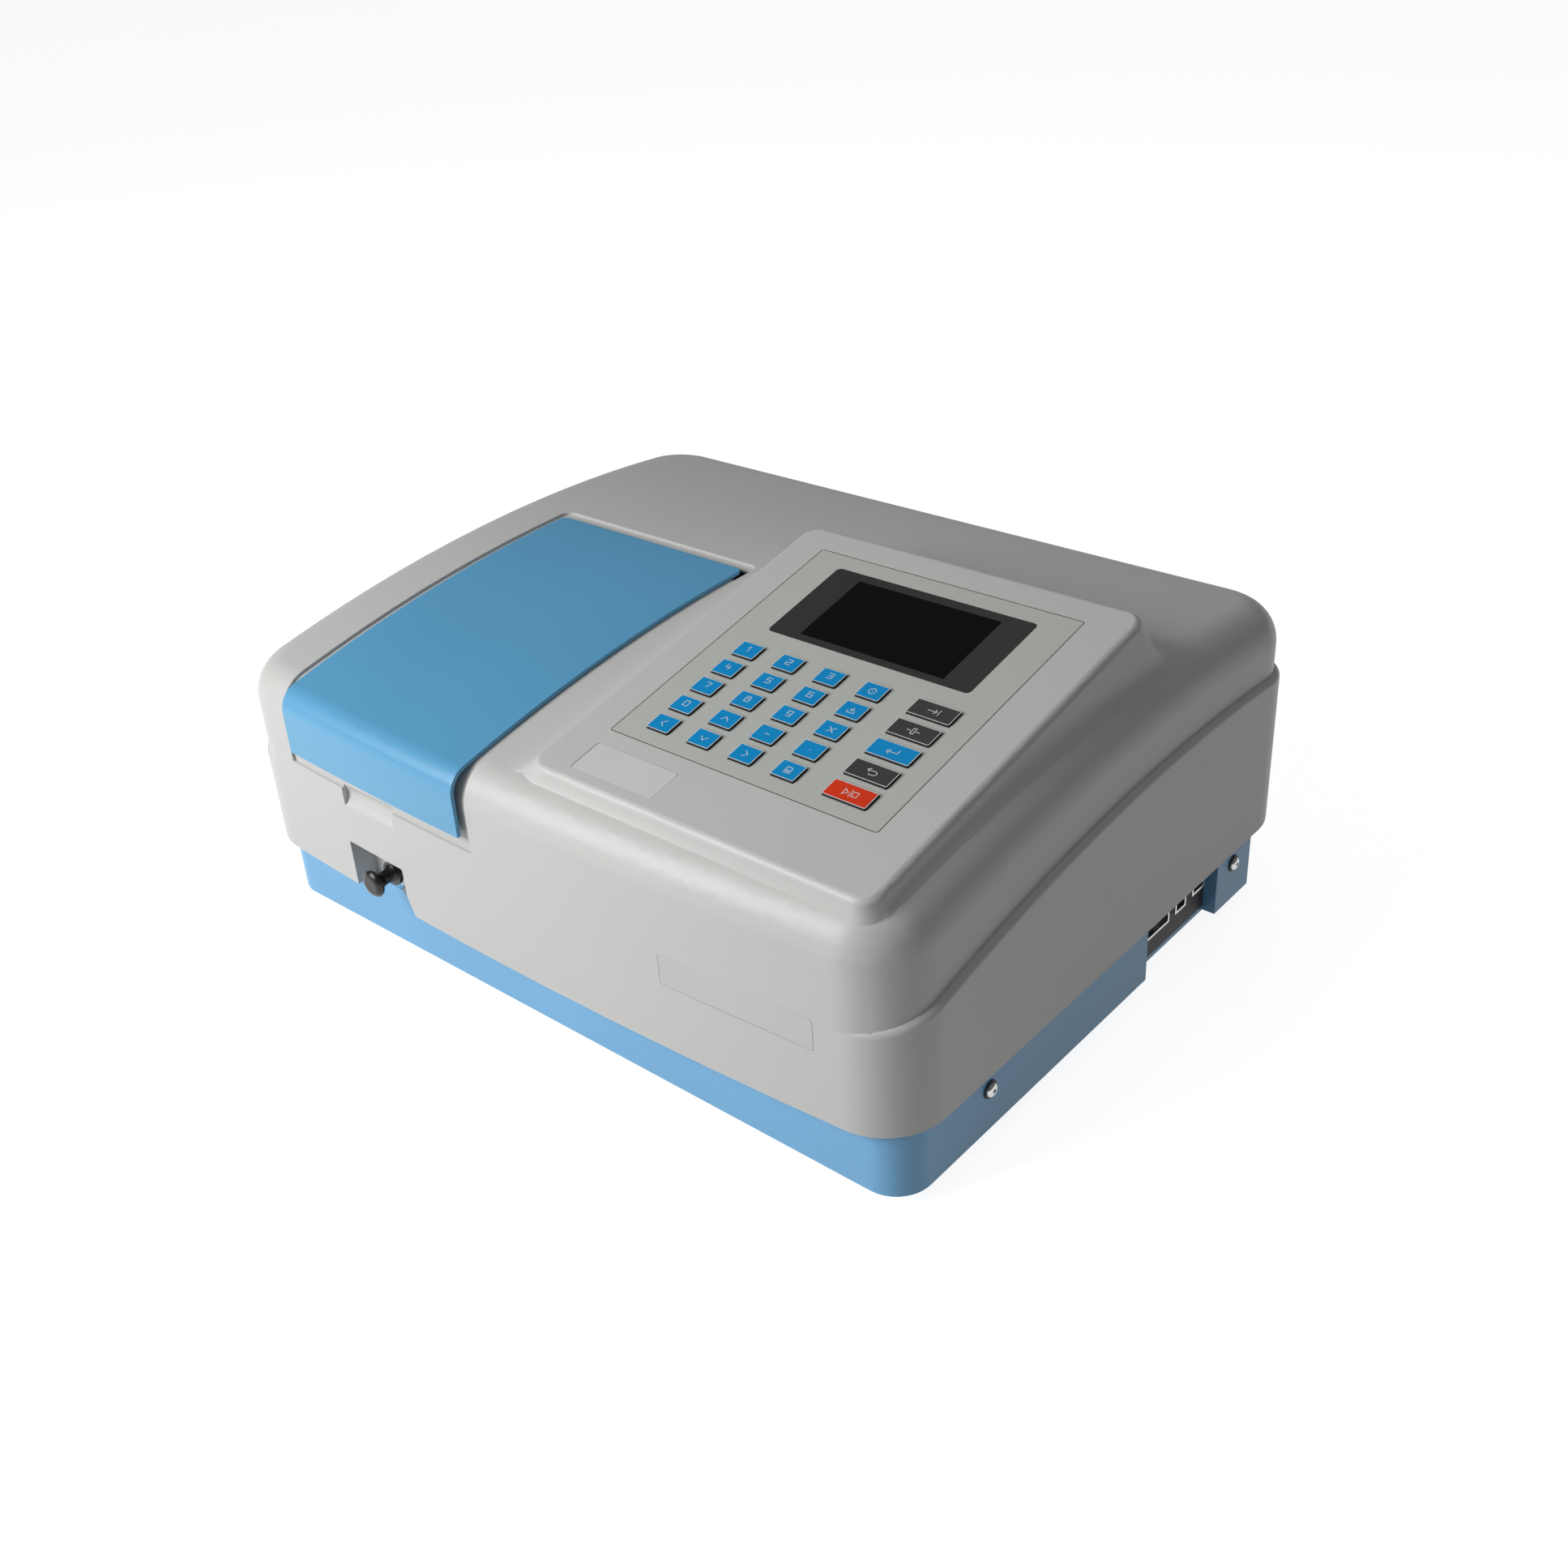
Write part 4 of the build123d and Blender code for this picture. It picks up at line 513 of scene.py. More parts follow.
def scatter_tree():
    """Places one pattern at every point, turned by the point's own attribute."""
    if "placed_fasteners" in bpy.data.node_groups:
        return bpy.data.node_groups["placed_fasteners"]
    tree, given, output = tree_with("placed_fasteners", (
        ("Pattern", "NodeSocketObject"), ("Size", "NodeSocketFloat"), ("Material", "NodeSocketMaterial"),
    ))
    source = tree.nodes.new("GeometryNodeObjectInfo")
    turn = tree.nodes.new("GeometryNodeInputNamedAttribute")
    turn.data_type = "FLOAT_VECTOR"
    turn.inputs["Name"].default_value = "turn"
    place = tree.nodes.new("GeometryNodeInstanceOnPoints")
    tree.links.new(given.outputs["Geometry"], place.inputs["Points"])
    tree.links.new(given.outputs["Pattern"], source.inputs["Object"])
    tree.links.new(source.outputs["Geometry"], place.inputs["Instance"])
    tree.links.new(turn.outputs["Attribute"], place.inputs["Rotation"])
    tree.links.new(given.outputs["Size"], place.inputs["Scale"])
    end_tree(tree, place.outputs["Instances"], given.outputs["Material"], output)
    return tree


def run_tree(piece, tree, values):
    """Runs a tree on a piece, its inputs set by identifier, and keeps the plain mesh."""
    modifier = piece.modifiers.new(tree.name, "NODES")
    modifier.node_group = tree
    for item in tree.interface.items_tree:
        if item.item_type == "SOCKET" and item.in_out == "INPUT" and item.name in values:
            modifier[item.identifier] = values[item.name]
    return baked(piece)


def scattered(name, places, pattern, material, size=1.0):
    """Copies of a lathe pattern at each (point, turn)."""
    mesh = bpy.data.meshes.new(name)
    mesh.from_pydata([p for p, _ in places], [], [])
    layer = mesh.attributes.new("turn", "FLOAT_VECTOR", "POINT")
    for item, (_, turn) in zip(layer.data, places):
        item.vector = turn
    piece = new_piece(name, mesh)
    source = new_piece(name + "_pattern", pattern)
    run_tree(piece, scatter_tree(), {"Pattern": source, "Size": size, "Material": material})
    bpy.data.objects.remove(source)
    if "turn" in piece.data.attributes:
        piece.data.attributes.remove(piece.data.attributes["turn"])
    smooth_by_angle(piece.data, 30)
    return piece


def lathe(name, profile, steps=40, hollow=None):
    """A turned solid about Z from (radius, height) pairs in millimetres, with a hexagon socket if asked."""
    shape = bmesh.new()
    rings = []
    for radius, height in profile:
        rings.append([
            shape.verts.new(Vector((
                radius * math.cos(2 * math.pi * i / steps), radius * math.sin(2 * math.pi * i / steps), height
            )) * MM) for i in range(steps)
        ])
    if hollow:
        across, depth = hollow
        top = profile[-1][1]
        for height in (top, top - depth):
            ring = []
            for i in range(steps):
                turn = 2 * math.pi * i / steps
                wedge = turn % (math.pi / 3) - math.pi / 6
                radius = across / math.cos(wedge)
                point = Vector((radius * math.cos(turn), radius * math.sin(turn), height)) * MM
                ring.append(shape.verts.new(point))
            rings.append(ring)
    for one, two in zip(rings, rings[1:]):
        for i in range(steps):
            shape.faces.new((one[i], one[(i + 1) % steps], two[(i + 1) % steps], two[i]))
    shape.faces.new(rings[0][::-1])
    shape.faces.new(rings[-1])
    bmesh.ops.recalc_face_normals(shape, faces=shape.faces)
    mesh = bpy.data.meshes.new(name)
    shape.to_mesh(mesh)
    shape.free()
    return mesh


# The soft run-out round the keypad platform
def roof_height(x, y):
    """Height of the cover's roof, its rounded rim included."""
    top, peak, radius = ROOF
    height = top - radius + math.sqrt(radius**2 - (y - peak) ** 2)
    inward = edge_distance(x, y)
    if inward < ROOF_EDGE:
        height -= ROOF_EDGE - math.sqrt(max(ROOF_EDGE**2 - (ROOF_EDGE - inward) ** 2, 0))
    return height


def edge_distance(x, y):
    """How far a point lies inside the cover's outline."""
    front = BODY_FRONT + FRONT_BOW - math.sqrt(FRONT_BOW**2 - x**2)
    dx = BODY_HALF_WIDTH - abs(x)
    dy = min(y - front, BODY_REAR - y)
    if dx < BODY_CORNER and dy < BODY_CORNER:
        return BODY_CORNER - math.hypot(BODY_CORNER - dx, BODY_CORNER - dy)
    return min(dx, dy)


def platform_rim():
    """Points round the platform's top: place, outward way, and lean of its bank."""
    left, right, front, back = PLATFORM
    lean_left, lean_right, lean_front, lean_back = BANKS
    r = PLATFORM_CORNER
    corners = (
        ((left + r, front + r), 180, (-lean_left, -lean_front)),
        ((right - r, front + r), 270, (lean_right, -lean_front)),
        ((right - r, back - r), 0, (lean_right, lean_back)),
        ((left + r, back - r), 90, (-lean_left, lean_back)),
    )
    rim = []
    for i, (centre, start, lean) in enumerate(corners):
        for step in range(13):
            turn = math.radians(start + 90 * step / 12)
            way = (math.cos(turn), math.sin(turn))
            rim.append((centre[0] + r * way[0], centre[1] + r * way[1], way, lean))
        after = corners[(i + 1) % 4]
        end = math.radians(start + 90)
        way = (math.cos(end), math.sin(end))
        last = rim[-1]
        first = (after[0][0] + r * way[0], after[0][1] + r * way[1])
        for step in range(1, 60):
            t = step / 60
            rim.append((
                last[0] + t * (first[0] - last[0]), last[1] + t * (first[1] - last[1]), way,
                tuple(a + t * (b - a) for a, b in zip(lean, after[2])),
            ))
    return rim


def blend_strip(reach):
    """A closed coved strip where the platform's banks meet the roof, snapped to the CAD skin."""
    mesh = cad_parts["top_cover"].data
    skin = BVHTree.FromPolygons([v.co for v in mesh.vertices], [tuple(p.vertices) for p in mesh.polygons])

    def snapped(point):
        near = skin.find_nearest(point, 0.003)
        return near[0] if near[0] is not None else point

    points, faces = [], []
    steps = 8
    for u, v, way, lean in platform_rim():
        low, high = 0.0, 60.0
        for _ in range(30):
            depth = (low + high) / 2
            here = on_panel(u + depth * lean[0], v + depth * lean[1], -depth) / MM
            low, high = (depth, high) if here.z > roof_height(here.x, here.y) else (low, depth)
        depth = (low + high) / 2
        foot = on_panel(u + depth * lean[0], v + depth * lean[1], -depth) / MM
        climb = max(depth - reach * 0.75, 5.0) if depth > 8 else depth * 0.7
        upper = on_panel(u + climb * lean[0], v + climb * lean[1], -climb) / MM
        outward = Vector((way[0], way[1] * math.cos(PANEL_TILT))).normalized()
        length = min(reach, max(edge_distance(foot.x, foot.y) * 0.7, 0.8))
        if outward.x < -0.01:
            length = min(length, max((foot.x - LID_GROOVE_X) / -outward.x, 0.5))
        x = foot.x + outward.x * length
        y = foot.y + outward.y * length
        lower = Vector((x, y, roof_height(x, y)))
        upper, lower = snapped(upper * MM), snapped(lower * MM)
        foot = foot * MM
        sunk = foot - Vector((outward.x * 0.2, outward.y * 0.2, 1.5)) * MM
        for i in range(steps + 1):
            t = i / steps
            points.append((1 - t) ** 2 * upper + 2 * t * (1 - t) * foot + t * t * lower)
        points.append(sunk)
    ring = steps + 2
    count = len(points) // ring
    for i in range(count):
        for j in range(ring):
            a, b = i * ring + j, i * ring + (j + 1) % ring
            c, d = (a + ring) % len(points), (b + ring) % len(points)
            faces.append((a, b, d, c))
    return points, faces


# Settings
class CoverSettings(bpy.types.PropertyGroup):
    colour: FloatVectorProperty(
        name="Cover colour", description="Moulded cover plastic", subtype="COLOR", default=(0.60, 0.60, 0.585)
    )
    lid_colour: FloatVectorProperty(
        name="Lid colour", description="Sample lid plastic", subtype="COLOR", default=(0.115, 0.39, 0.65)
    )
    tray_colour: FloatVectorProperty(
        name="Tray colour", description="Paint of the base tray", subtype="COLOR", default=(0.18, 0.46, 0.76)
    )
    blend_reach: FloatProperty(
        name="Platform run-out", description="How far the soft run-out reaches from the platform's foot",
        default=0.014, min=0.002, max=0.03, subtype="DISTANCE", unit="LENGTH",
    )
    edge_ease: FloatProperty(
        name="Eased edges", description="Width of the eased moulded edges", default=0.00035, min=0.0,
        max=0.002, subtype="DISTANCE", unit="LENGTH",
    )


class KeypadSettings(bpy.types.PropertyGroup):
    film_colour: FloatVectorProperty(
        name="Film colour", description="Printed keypad film", subtype="COLOR",
        default=(0.53, 0.545, 0.51),
    )
    key_colour: FloatVectorProperty(
        name="Key colour", description="Face of the common keys", subtype="COLOR", default=(0.0, 0.285, 0.66)
    )
    dark_colour: FloatVectorProperty(
        name="Dark key colour", description="Face of the dark keys", subtype="COLOR",
        default=(0.045, 0.045, 0.046),
    )
    run_colour: FloatVectorProperty(
        name="Run key colour", description="Face of the run and halt key", subtype="COLOR",
        default=(0.75, 0.040, 0.006),
    )
    # The pale border line is a painted highlight on each key's top edge.
    line_width: FloatProperty(
        name="Border line", description="Pale line round each key's face", default=0.0004, min=0.0001,
        max=0.002, subtype="DISTANCE", unit="LENGTH",
    )
    stroke_width: FloatProperty(
        name="Mark stroke", description="Width of the strokes of the key marks", default=0.00042,
        min=0.0001, max=0.002, subtype="DISTANCE", unit="LENGTH",
    )


class FittingSettings(bpy.types.PropertyGroup):
    socket_across: FloatProperty(
        name="Screw socket", description="Half the width across the socket's flats", default=0.0012,
        min=0.0005, max=0.003, subtype="DISTANCE", unit="LENGTH",
    )
    foot_grooves: IntProperty(
        name="Foot grooves", description="Grooves turned round each foot", default=3, min=0, max=6,
    )


class StageSettings(bpy.types.PropertyGroup):
    key_power: FloatProperty(
        name="Key light", description="Large soft light, front left", default=28.0, unit="POWER",
    )
    top_power: FloatProperty(name="Top light", description="Soft light overhead", default=5.0, unit="POWER")
    world_level: FloatProperty(
        name="Room light", description="Even light from all round", default=0.13, min=0.0,
    )
    floor_colour: FloatVectorProperty(
        name="Floor colour", description="Pale studio floor", subtype="COLOR", default=(0.55, 0.55, 0.55)
    )


# Operators
class SPECTRO_OT_cover(bpy.types.Operator):
    """Moulded top cover with its soft platform run-out"""

    bl_idname = "spectro.cover"
    bl_label = "Top Cover"

    def execute(self, context):
        settings = context.scene.spectro_cover
        plastic = paint("moulded_cover_plastic", settings.colour)
        dress(
            "top_cover", "cover_shell", "housing", plastic, settings.edge_ease,
            blend_strip(settings.blend_reach / MM),
        )
        return {"FINISHED"}


class SPECTRO_OT_tray(bpy.types.Operator):
    """Painted base tray"""

    bl_idname = "spectro.tray"
    bl_label = "Base Tray"

    def execute(self, context):
        settings = context.scene.spectro_cover
        blue = paint("blue_tray_paint", settings.tray_colour)
        dress("base_tray", "tray_shell", "housing", blue, settings.edge_ease)
        return {"FINISHED"}


class SPECTRO_OT_lid(bpy.types.Operator):
    """Sample lid, its hinge and its foam seal"""

    bl_idname = "spectro.lid"
    bl_label = "Sample Lid"

    def execute(self, context):
        settings = context.scene.spectro_cover
        ease = settings.edge_ease
        blue = paint("blue_lid_plastic", settings.lid_colour)
        dress("sample_lid", "lid_panel", "lid", blue, ease)
        dress("lid_hinge", "hinge_brackets", "housing", paint("plated_sheet_metal"), ease / 2)
        dress("lid_seal", "foam_seal", "lid", paint("closed_cell_foam"))
        return {"FINISHED"}


def key_place(row, column):
    """Centre and width of a key on the panel."""
    wide = column == 4
    return (WIDE_KEY_U if wide else column * KEY_PITCH[0]), -row * KEY_PITCH[1], KEY_SIZE[1 if wide else 0]


def laid_on_panel(mesh, u, v, height):
    """Moves a flat mesh onto the panel's plane."""
    turn = Matrix.Rotation(PANEL_TILT, 4, "X")
    mesh.transform(Matrix.Translation(on_panel(u, v, height)) @ turn)


class SPECTRO_OT_keypad(bpy.types.Operator):
    """Printed faces and marks of the keys, pale lines round them as painted highlight, dark key sides as
    painted shade, and the keypad film with its painted shadow edge
    """

    bl_idname = "spectro.keypad"
    bl_label = "Keypad"

    def execute(self, context):
        settings = context.scene.spectro_keypad
        blue = paint("blue_key_print", settings.key_colour)
        dark = paint("dark_key_print", settings.dark_colour)
        red = paint("run_key_print", settings.run_colour)
        pale = paint("pale_key_line")
        side_shade = paint("dark_key_skirt")
        film = paint("matt_keypad_film", settings.film_colour)
        for row in range(5):
            for column in range(5):
                code = f"r{row + 1}c{column + 1}"
                face = red if code == "r5c5" else dark if code in DARK_KEYS else blue
                self.key(context, code, row, column, (pale, face), settings)
                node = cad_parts["key_" + code]
                # The key bodies' sides are painted near black as painted shade round each key's face.
                for slot in node.material_slots:
                    slot.material = side_shade
        dress("keypad_overlay", "keypad_film", "housing", film, PRINT_EASE)
        # A dark ribbon round the film's edge is painted shadow of the gap round the film.
        shape = bmesh.new()
        outline = rounded_outline(*FILM, 1.5, 4)
        ribbon(shape, outline + [outline[0]], 0.45, on_panel, -0.05, 0.06)
        shape_piece("film_outline", shape, "housing", paint("film_edge_shadow"))
        return {"FINISHED"}

    def key(self, context, code, row, column, materials, settings):
        u, v, width = key_place(row, column)
        tree = key_plate_tree()
        parts = []
        inset = settings.line_width / MM
        # The first plate shows as a pale line round the face and is a painted highlight; the second is the
        # printed face.
        for i, (trim, low, thick) in enumerate(((0.05, -0.02, 0.05), (0.05 + inset, 0.0, 0.06))):
            part = new_piece(f"plate_{code}_{i}", bpy.data.meshes.new(f"plate_{code}_{i}"))
            run_tree(part, tree, {
                "Width": (width - 2 * trim) * MM, "Depth": (KEY_SIZE[2] - 2 * trim) * MM,
                "Corner": max(0.8 - trim, 0.3) * MM, "Thickness": thick * MM, "Material": materials[i],
            })
            laid_on_panel(part.data, u, v, KEY_TOP + low)
            parts.append(part)
        shape = bmesh.new()
        shape.from_mesh(parts[0].data)
        for face in shape.faces:
            face.material_index = 0
        done = len(shape.faces)
        shape.from_mesh(parts[1].data)
        shape.faces.ensure_lookup_table()
        for face in shape.faces[done:]:
            face.material_index = 1
        done = len(shape.faces)
        mark = KEY_MARKS[row][column]
        strokes = DIGITS.get(mark) or MARKS[mark]
        half_u, half_v = (1.5, 1.95) if mark in DIGITS else (2.1, 2.1)
        centre_v = v + (0.9 if mark in DIGITS else 0.0)
        for line in strokes:
            ribbon(
                shape, [(u + x * half_u, centre_v + y * half_v) for x, y in line],
                settings.stroke_width / MM, on_panel, KEY_TOP + 0.05, KEY_TOP + 0.085,
            )
        shape.faces.ensure_lookup_table()
        for face in shape.faces[done:]:
            face.material_index = 0
        bmesh.ops.recalc_face_normals(shape, faces=shape.faces)
        for part in parts:
            bpy.data.objects.remove(part)
        mesh = bpy.data.meshes.new("key_face_" + code)
        shape.to_mesh(mesh)
        shape.free()
        for material in materials:
            mesh.materials.append(material)
        settle(new_piece("key_face_" + code, mesh), "key_" + code)


class SPECTRO_OT_display(bpy.types.Operator):
    """Dark window over the screen, the screen's visible area and the module behind"""

    bl_idname = "spectro.display"
    bl_label = "Display"

    def execute(self, context):
        bezel = paint("dark_window_print")
        dress("display_window", "window_bezel", "housing", bezel, PRINT_EASE)
        shape = bmesh.new()
        plate(shape, rounded_outline(*SCREEN, 0.4, 3), on_panel, -0.2, 0.03)
        shape_piece("screen_glass", shape, "housing", paint("dark_screen_glass"))
        dress("display_module", "screen_module", "housing", paint("screen_module_frame"))
        return {"FINISHED"}


class SPECTRO_OT_plates(bpy.types.Operator):
    """Blank plates in the two shallow recesses"""

    bl_idname = "spectro.plates"
    bl_label = "Blank Plates"

    def execute(self, context):
        gap = 0.25
        left, right, front, back = TOP_PLATE
        outline = rounded_outline(left + gap, right - gap, front + gap, back - gap, PLATE_CORNER)
        shape = bmesh.new()
        plate(shape, outline, on_panel, -0.7, -0.12, 0.15)
        shape_piece("top_blank_plate", shape, "housing", paint("blank_plate_print"))
        turn = math.asin(FRONT_PLATE_X / FRONT_BOW)
        front_y = BODY_FRONT + FRONT_BOW - math.sqrt(FRONT_BOW**2 - FRONT_PLATE_X**2)

        def on_front(u, v, height):
            return Vector((
                FRONT_PLATE_X + u * math.cos(turn) + height * math.sin(turn),
                front_y + u * math.sin(turn) - height * math.cos(turn), FRONT_PLATE_Z + v,
            )) * MM

        shape = bmesh.new()
        plate(shape, rounded_outline(*FRONT_PLATE, PLATE_CORNER), on_front, -0.7, -0.3, 0.12)
        shape_piece("front_blank_plate", shape, "housing", paint("blank_front_plate"))
        return {"FINISHED"}


class SPECTRO_OT_fasteners(bpy.types.Operator):
    """Socket screws with black washers, and the four feet"""

    bl_idname = "spectro.fasteners"
    bl_label = "Screws and Feet"

    def execute(self, context):
        across = context.scene.spectro_fittings.socket_across / MM
        low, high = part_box("base_tray")
        heads = [
            ((face, y, SCREW_HEIGHT), tuple(Euler((0, turn * math.pi / 2, 0))))
            for face, turn in ((low.x, -1), (high.x, 1)) for y in SCREW_PLACES
        ]
        washer = lathe("washer_pattern", WASHER)
        washers = scattered("screw_washers", heads, washer, paint("matt_black_paint"))
        settle(washers, "housing")
        head = lathe("head_pattern", SCREW_HEAD, 48, (across, SOCKET_DEPTH))
        screws = scattered("screw_heads", heads, head, paint("bright_steel"))
        settle(screws, "housing", None, ("cover_screws",))
        grooves = context.scene.spectro_fittings.foot_grooves
        wide, narrow = FOOT_RADIUS, FOOT_RADIUS - 0.4
        profile = [(wide - 0.6, 0.0), (wide, 0.5)]
        for i in range(grooves):
            z = 2.0 + i * 1.9
            profile += [(wide, z), (narrow, z + 0.25), (narrow, z + 0.65), (wide, z + 0.9)]
        profile += [(wide, FOOT_TOP)]
        centre = (low + high) / 2
        reach = (high - low) / 2 - Vector((*FOOT_INSET, 0.0))
        places = [
            ((centre.x + sx * reach.x, centre.y + sy * reach.y, 0.0), (0.0, 0.0, 0.0))
            for sx in (-1, 1) for sy in (-1, 1)
        ]
        foot = lathe("foot_pattern", profile, 48)
        feet = scattered("rubber_foot_pads", places, foot, paint("black_rubber"))
        settle(feet, "housing", None, ("rubber_feet",))
        return {"FINISHED"}


class SPECTRO_OT_fittings(bpy.types.Operator):
    """Connector panel, data ports, mains inlet, rocker switch and fan"""

    bl_idname = "spectro.fittings"
    bl_label = "Ports and Mains"

    def execute(self, context):
        plastic = paint("black_moulded_plastic")
        for node, name, body, slot, material, ease in (
            ("connector_panel", "port_panel", "housing", "panel_black", paint("matt_black_paint"), 0.0002),
            ("data_ports", "port_shells", "housing", "port_metal", paint("bright_steel"), 0.0001),
            ("mains_inlet", "inlet_and_switch_frame", "housing", "black_plastic", plastic, 0.0002),
            ("power_switch", "rocker_cap", "rocker", "black_plastic", paint("rocker_plastic"), 0.0002),
            ("fan_frame", "fan_casing", "housing", "fan_black", plastic, 0.0002),
            ("fan_rotor", "fan_blades", "rotor", "fan_black", plastic, 0.0001),
        ):
            dress(node, name, body, material, ease)
        return {"FINISHED"}


class SPECTRO_OT_sample_bay(bpy.types.Operator):
    """Sample box, cell carriage, glass cells, puller rod and knob"""

    bl_idname = "spectro.sample_bay"
    bl_label = "Sample Bay"

    def execute(self, context):
        glass = clear_glass("cell_glass_clear", (0.93, 0.97, 0.98))
        anodised = paint("black_anodised_aluminium")
        dress("sample_box", "bay_box", "housing", paint("matt_black_paint"), 0.0003)
        dress("cell_carriage", "carriage_block", "carriage", anodised, 0.0003)
        dress("carriage_rods", "guide_rods", "housing", paint("ground_steel_rod"))
        dress("pull_rod", "puller_rod", "carriage", paint("ground_steel_rod"))
        dress("puller_knob", "turned_knob", "carriage", paint("turned_black_knob"))
        dress("cuvettes", "glass_cells", "carriage", glass)
        return {"FINISHED"}


class SPECTRO_OT_optics(bpy.types.Operator):
    """Optical plate, monochromator, lamps, mirrors, filter wheel, motors and detector"""

    bl_idname = "spectro.optics"
    bl_label = "Optics"

    def execute(self, context):
        lamp = clear_glass("lamp_envelope", (0.95, 0.96, 0.97))
        aluminium = paint("machined_aluminium")
        for node, name, body, slot, material in (
            ("optical_plate", "bench_plate", "housing", "plate_aluminium", aluminium),
            ("mono_housing", "mono_casting", "housing", "mono_black", paint("black_casting")),
            ("grating_table", "grating_turntable", "turntable", "plate_aluminium", aluminium),
            ("mono_mirrors", "collimating_mirrors", "housing", "mirror_face", paint("mirror_coating")),
            ("filter_wheel", "filter_disc", "wheel", "carriage_black", paint("black_anodised_aluminium")),
            ("steppers", "stepper_motors", "housing", "motor_steel", paint("stepper_can")),
            ("lamp_housing", "lamp_box", "housing", "lamp_sheet", paint("plated_sheet_metal")),
            ("lamp_mirror", "source_mirror_face", "source_mirror", "mirror_face", paint("mirror_coating")),
            ("tungsten_lamp", "halogen_capsule", "housing", "lamp_glass", lamp),
            ("deuterium_lamp", "deuterium_bulb", "housing", "lamp_glass", lamp),
            ("detector_unit", "detector_case", "housing", "mono_black", paint("black_casting")),
        ):
            dress(node, name, body, material)
        return {"FINISHED"}


class SPECTRO_OT_electronics(bpy.types.Operator):
    """Circuit boards and power supply"""

    bl_idname = "spectro.electronics"
    bl_label = "Electronics"

    def execute(self, context):
        dress("circuit_boards", "boards", "housing", paint("green_solder_mask"))
        dress("power_supply", "supply_case", "housing", paint("plated_sheet_metal"))
        return {"FINISHED"}


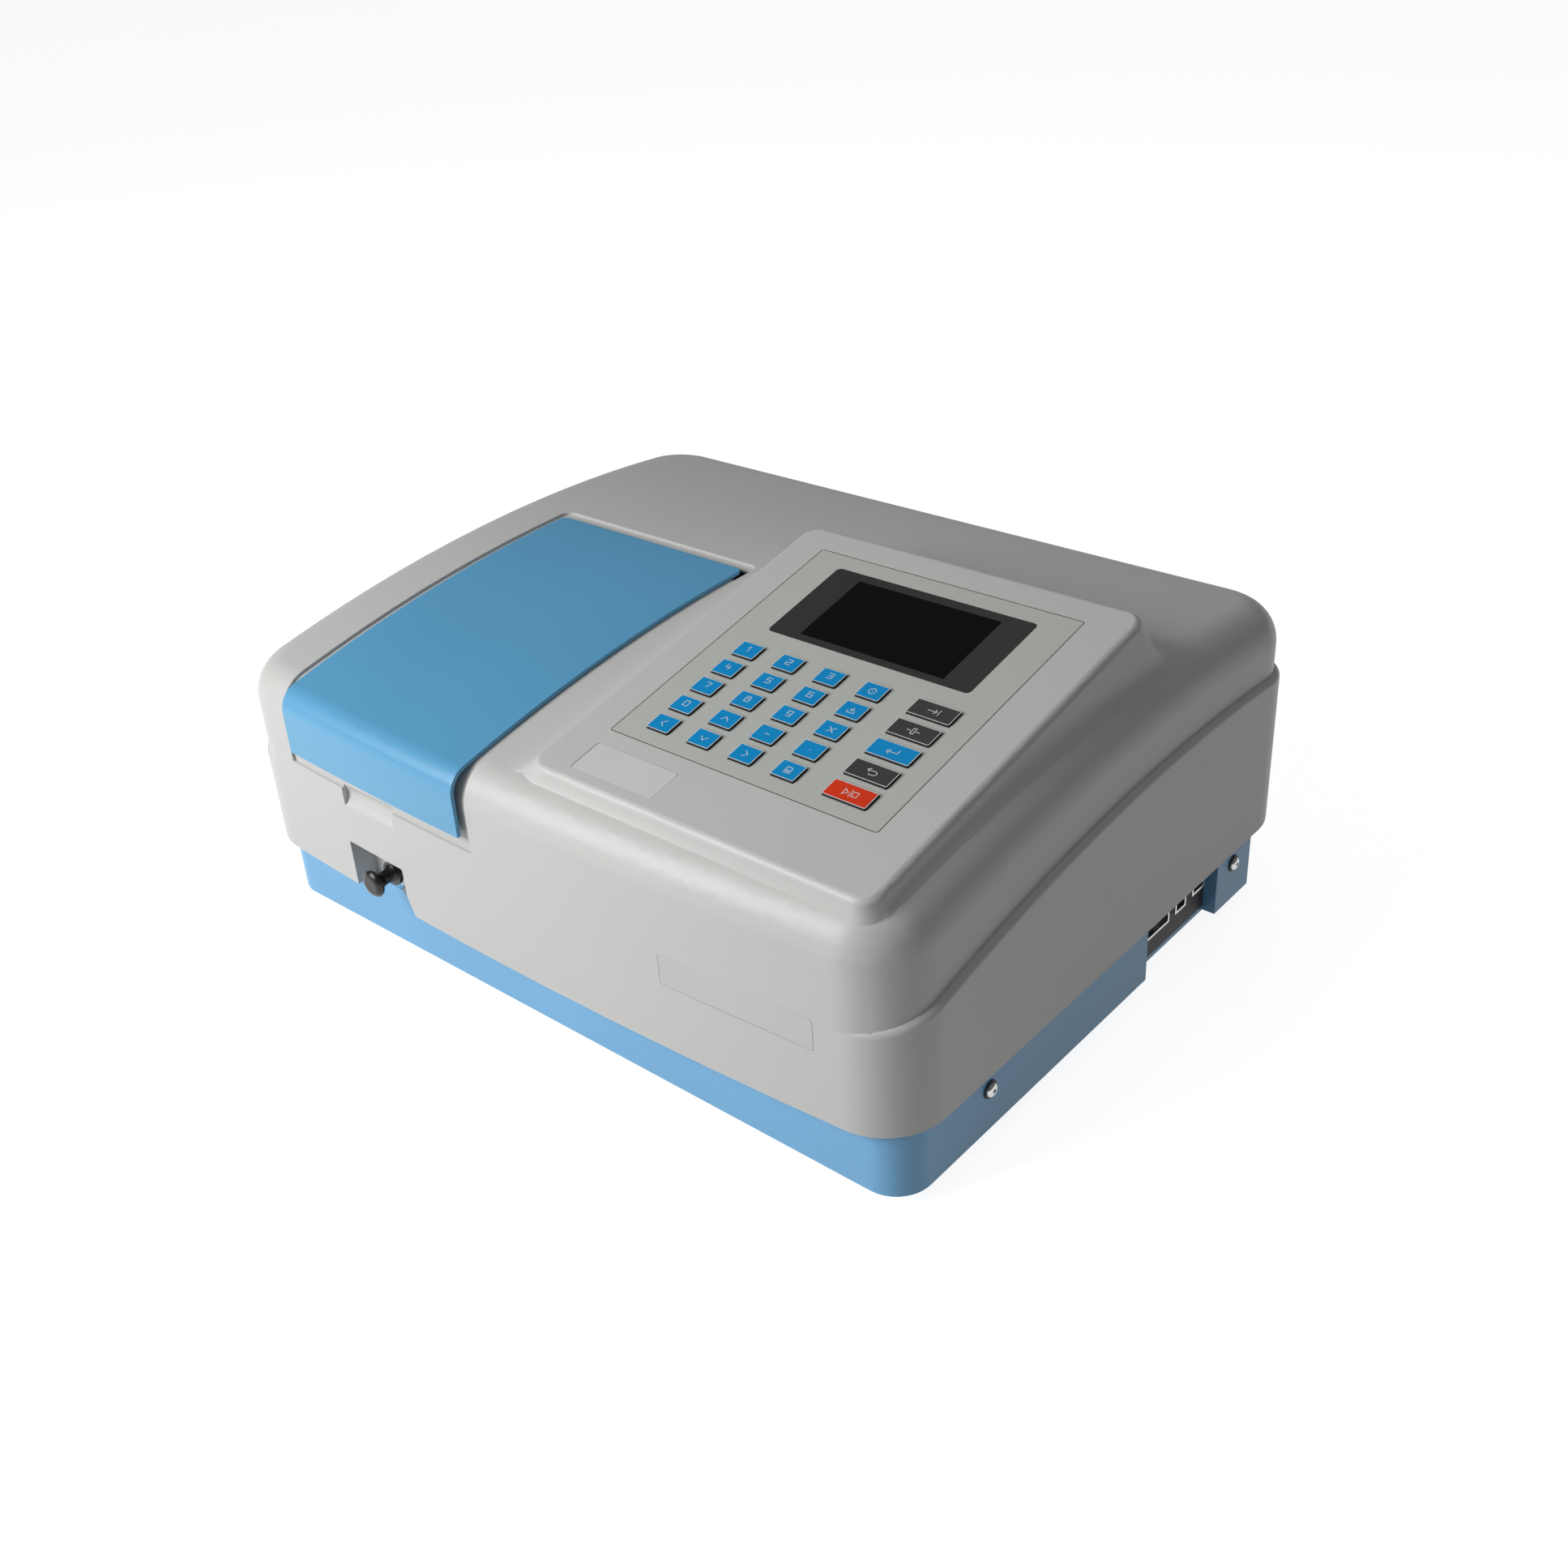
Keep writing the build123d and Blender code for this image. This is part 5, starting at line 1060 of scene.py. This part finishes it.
class SPECTRO_OT_stage(bpy.types.Operator):
    """Pale floor, soft studio lights, room light and the camera"""

    bl_idname = "spectro.stage"
    bl_label = "Studio"

    def execute(self, context):
        settings = context.scene.spectro_stage
        self.floor(settings)
        self.lamp("key_softbox", *KEY_SOFTBOX, settings.key_power)
        self.lamp("top_softbox", *TOP_SOFTBOX, settings.top_power)
        self.room(context, settings)
        self.camera(context)
        context.scene.view_settings.view_transform = "Standard"
        return {"FINISHED"}

    def seen_rays(self, tree):
        """1 for camera, mirror and glass rays, 0 for the light that falls on the object."""
        path = tree.nodes.new("ShaderNodeLightPath")
        total = None
        for output in ("Is Camera Ray", "Is Glossy Ray", "Is Transmission Ray"):
            if total is None:
                total = path.outputs[output]
                continue
            add = tree.nodes.new("ShaderNodeMath")
            add.operation = "MAXIMUM"
            tree.links.new(total, add.inputs[0])
            tree.links.new(path.outputs[output], add.inputs[1])
            total = add.outputs[0]
        return total

    def floor(self, settings):
        mesh = bpy.data.meshes.new("studio_floor")
        h = FLOOR_HALF
        mesh.from_pydata([(-h, -h, 0), (h, -h, 0), (h, h, 0), (-h, h, 0)], [], [(0, 1, 2, 3)])
        floor = new_piece("studio_floor", mesh)
        material = bpy.data.materials.new("studio_floor")
        material.use_nodes = True
        tree = material.node_tree
        tree.nodes.clear()
        paint = tree.nodes.new("ShaderNodeBsdfDiffuse")
        paint.inputs["Color"].default_value = (*settings.floor_colour, 1)
        glow = tree.nodes.new("ShaderNodeEmission")
        glow.inputs["Color"].default_value = (1, 1, 1, 1)
        level = tree.nodes.new("ShaderNodeMath")
        level.operation = "MULTIPLY"
        level.inputs[1].default_value = FLOOR_GLOW
        tree.links.new(self.seen_rays(tree), level.inputs[0])
        tree.links.new(level.outputs[0], glow.inputs["Strength"])
        both = tree.nodes.new("ShaderNodeAddShader")
        out = tree.nodes.new("ShaderNodeOutputMaterial")
        tree.links.new(paint.outputs[0], both.inputs[0])
        tree.links.new(glow.outputs[0], both.inputs[1])
        tree.links.new(both.outputs[0], out.inputs["Surface"])
        mesh.materials.append(material)

    def lamp(self, name, place, size, power):
        data = bpy.data.lights.new(name, "AREA")
        data.shape = "SQUARE"
        data.size = size
        data.energy = power
        lamp = bpy.data.objects.new(name, data)
        lamp.location = place
        lamp.rotation_euler = (Vector(LIGHT_TARGET) - Vector(place)).to_track_quat("-Z", "Y").to_euler()
        bpy.context.scene.collection.objects.link(lamp)

    def room(self, context, settings):
        world = bpy.data.worlds.new("studio_room")
        context.scene.world = world
        world.use_nodes = True
        tree = world.node_tree
        background = tree.nodes["Background"]
        background.inputs["Color"].default_value = (1, 1, 1, 1)
        blend = tree.nodes.new("ShaderNodeMapRange")
        blend.inputs["To Min"].default_value = settings.world_level
        blend.inputs["To Max"].default_value = 1.0
        path = tree.nodes.new("ShaderNodeLightPath")
        tree.links.new(path.outputs["Is Camera Ray"], blend.inputs["Value"])
        tree.links.new(blend.outputs["Result"], background.inputs["Strength"])

    def camera(self, context):
        data = bpy.data.cameras.new("studio_camera")
        data.sensor_width = 36.0
        data.sensor_fit = "HORIZONTAL"
        data.lens = CAMERA_LENS
        camera = bpy.data.objects.new("studio_camera", data)
        yaw, pitch, roll = CAMERA_TURNS
        right = Vector((math.cos(yaw), math.sin(yaw), 0))
        ahead = Vector((-math.sin(yaw) * math.cos(pitch), math.cos(yaw) * math.cos(pitch), -math.sin(pitch)))
        up = right.cross(ahead)
        side = right * math.cos(roll) + up * math.sin(roll)
        top = up * math.cos(roll) - right * math.sin(roll)
        turn = Matrix((side, top, -ahead)).transposed().to_4x4()
        camera.matrix_world = Matrix.Translation(CAMERA_PLACE) @ turn
        context.scene.collection.objects.link(camera)
        context.scene.camera = camera


PIECES = (
    SPECTRO_OT_cover, SPECTRO_OT_tray, SPECTRO_OT_lid, SPECTRO_OT_keypad, SPECTRO_OT_display,
    SPECTRO_OT_plates, SPECTRO_OT_fasteners, SPECTRO_OT_fittings, SPECTRO_OT_sample_bay,
    SPECTRO_OT_optics, SPECTRO_OT_electronics, SPECTRO_OT_stage,
)


class SPECTRO_PT_panel(bpy.types.Panel):
    """Lists the pieces of the spectrophotometer"""

    bl_idname = "SPECTRO_PT_panel"
    bl_label = "Spectrophotometer"
    bl_space_type = "VIEW_3D"
    bl_region_type = "UI"
    bl_category = "Spectrophotometer"

    def draw(self, context):
        layout = self.layout
        for settings in SETTINGS:
            group = getattr(context.scene, settings)
            box = layout.box()
            for name in group.bl_rna.properties.keys():
                if name not in ("rna_type", "name"):
                    box.prop(group, name)
        for operator in PIECES:
            layout.operator(operator.bl_idname)


SETTINGS = {
    "spectro_cover": CoverSettings, "spectro_keypad": KeypadSettings, "spectro_fittings": FittingSettings,
    "spectro_stage": StageSettings,
}


def register():
    for name, group in SETTINGS.items():
        bpy.utils.register_class(group)
        setattr(bpy.types.Scene, name, PointerProperty(type=group))
    for operator in PIECES:
        bpy.utils.register_class(operator)
    bpy.utils.register_class(SPECTRO_PT_panel)


def unregister():
    bpy.utils.unregister_class(SPECTRO_PT_panel)
    for operator in reversed(PIECES):
        bpy.utils.unregister_class(operator)
    for name, group in SETTINGS.items():
        delattr(bpy.types.Scene, name)
        bpy.utils.unregister_class(group)


def main():
    register()
    bpy.ops.spectro.cover()
    bpy.ops.spectro.tray()
    bpy.ops.spectro.lid()
    bpy.ops.spectro.keypad()
    bpy.ops.spectro.display()
    bpy.ops.spectro.plates()
    bpy.ops.spectro.fasteners()
    bpy.ops.spectro.fittings()
    bpy.ops.spectro.sample_bay()
    bpy.ops.spectro.optics()
    bpy.ops.spectro.electronics()
    bpy.ops.spectro.stage()


if __name__ == "__main__":
    main()
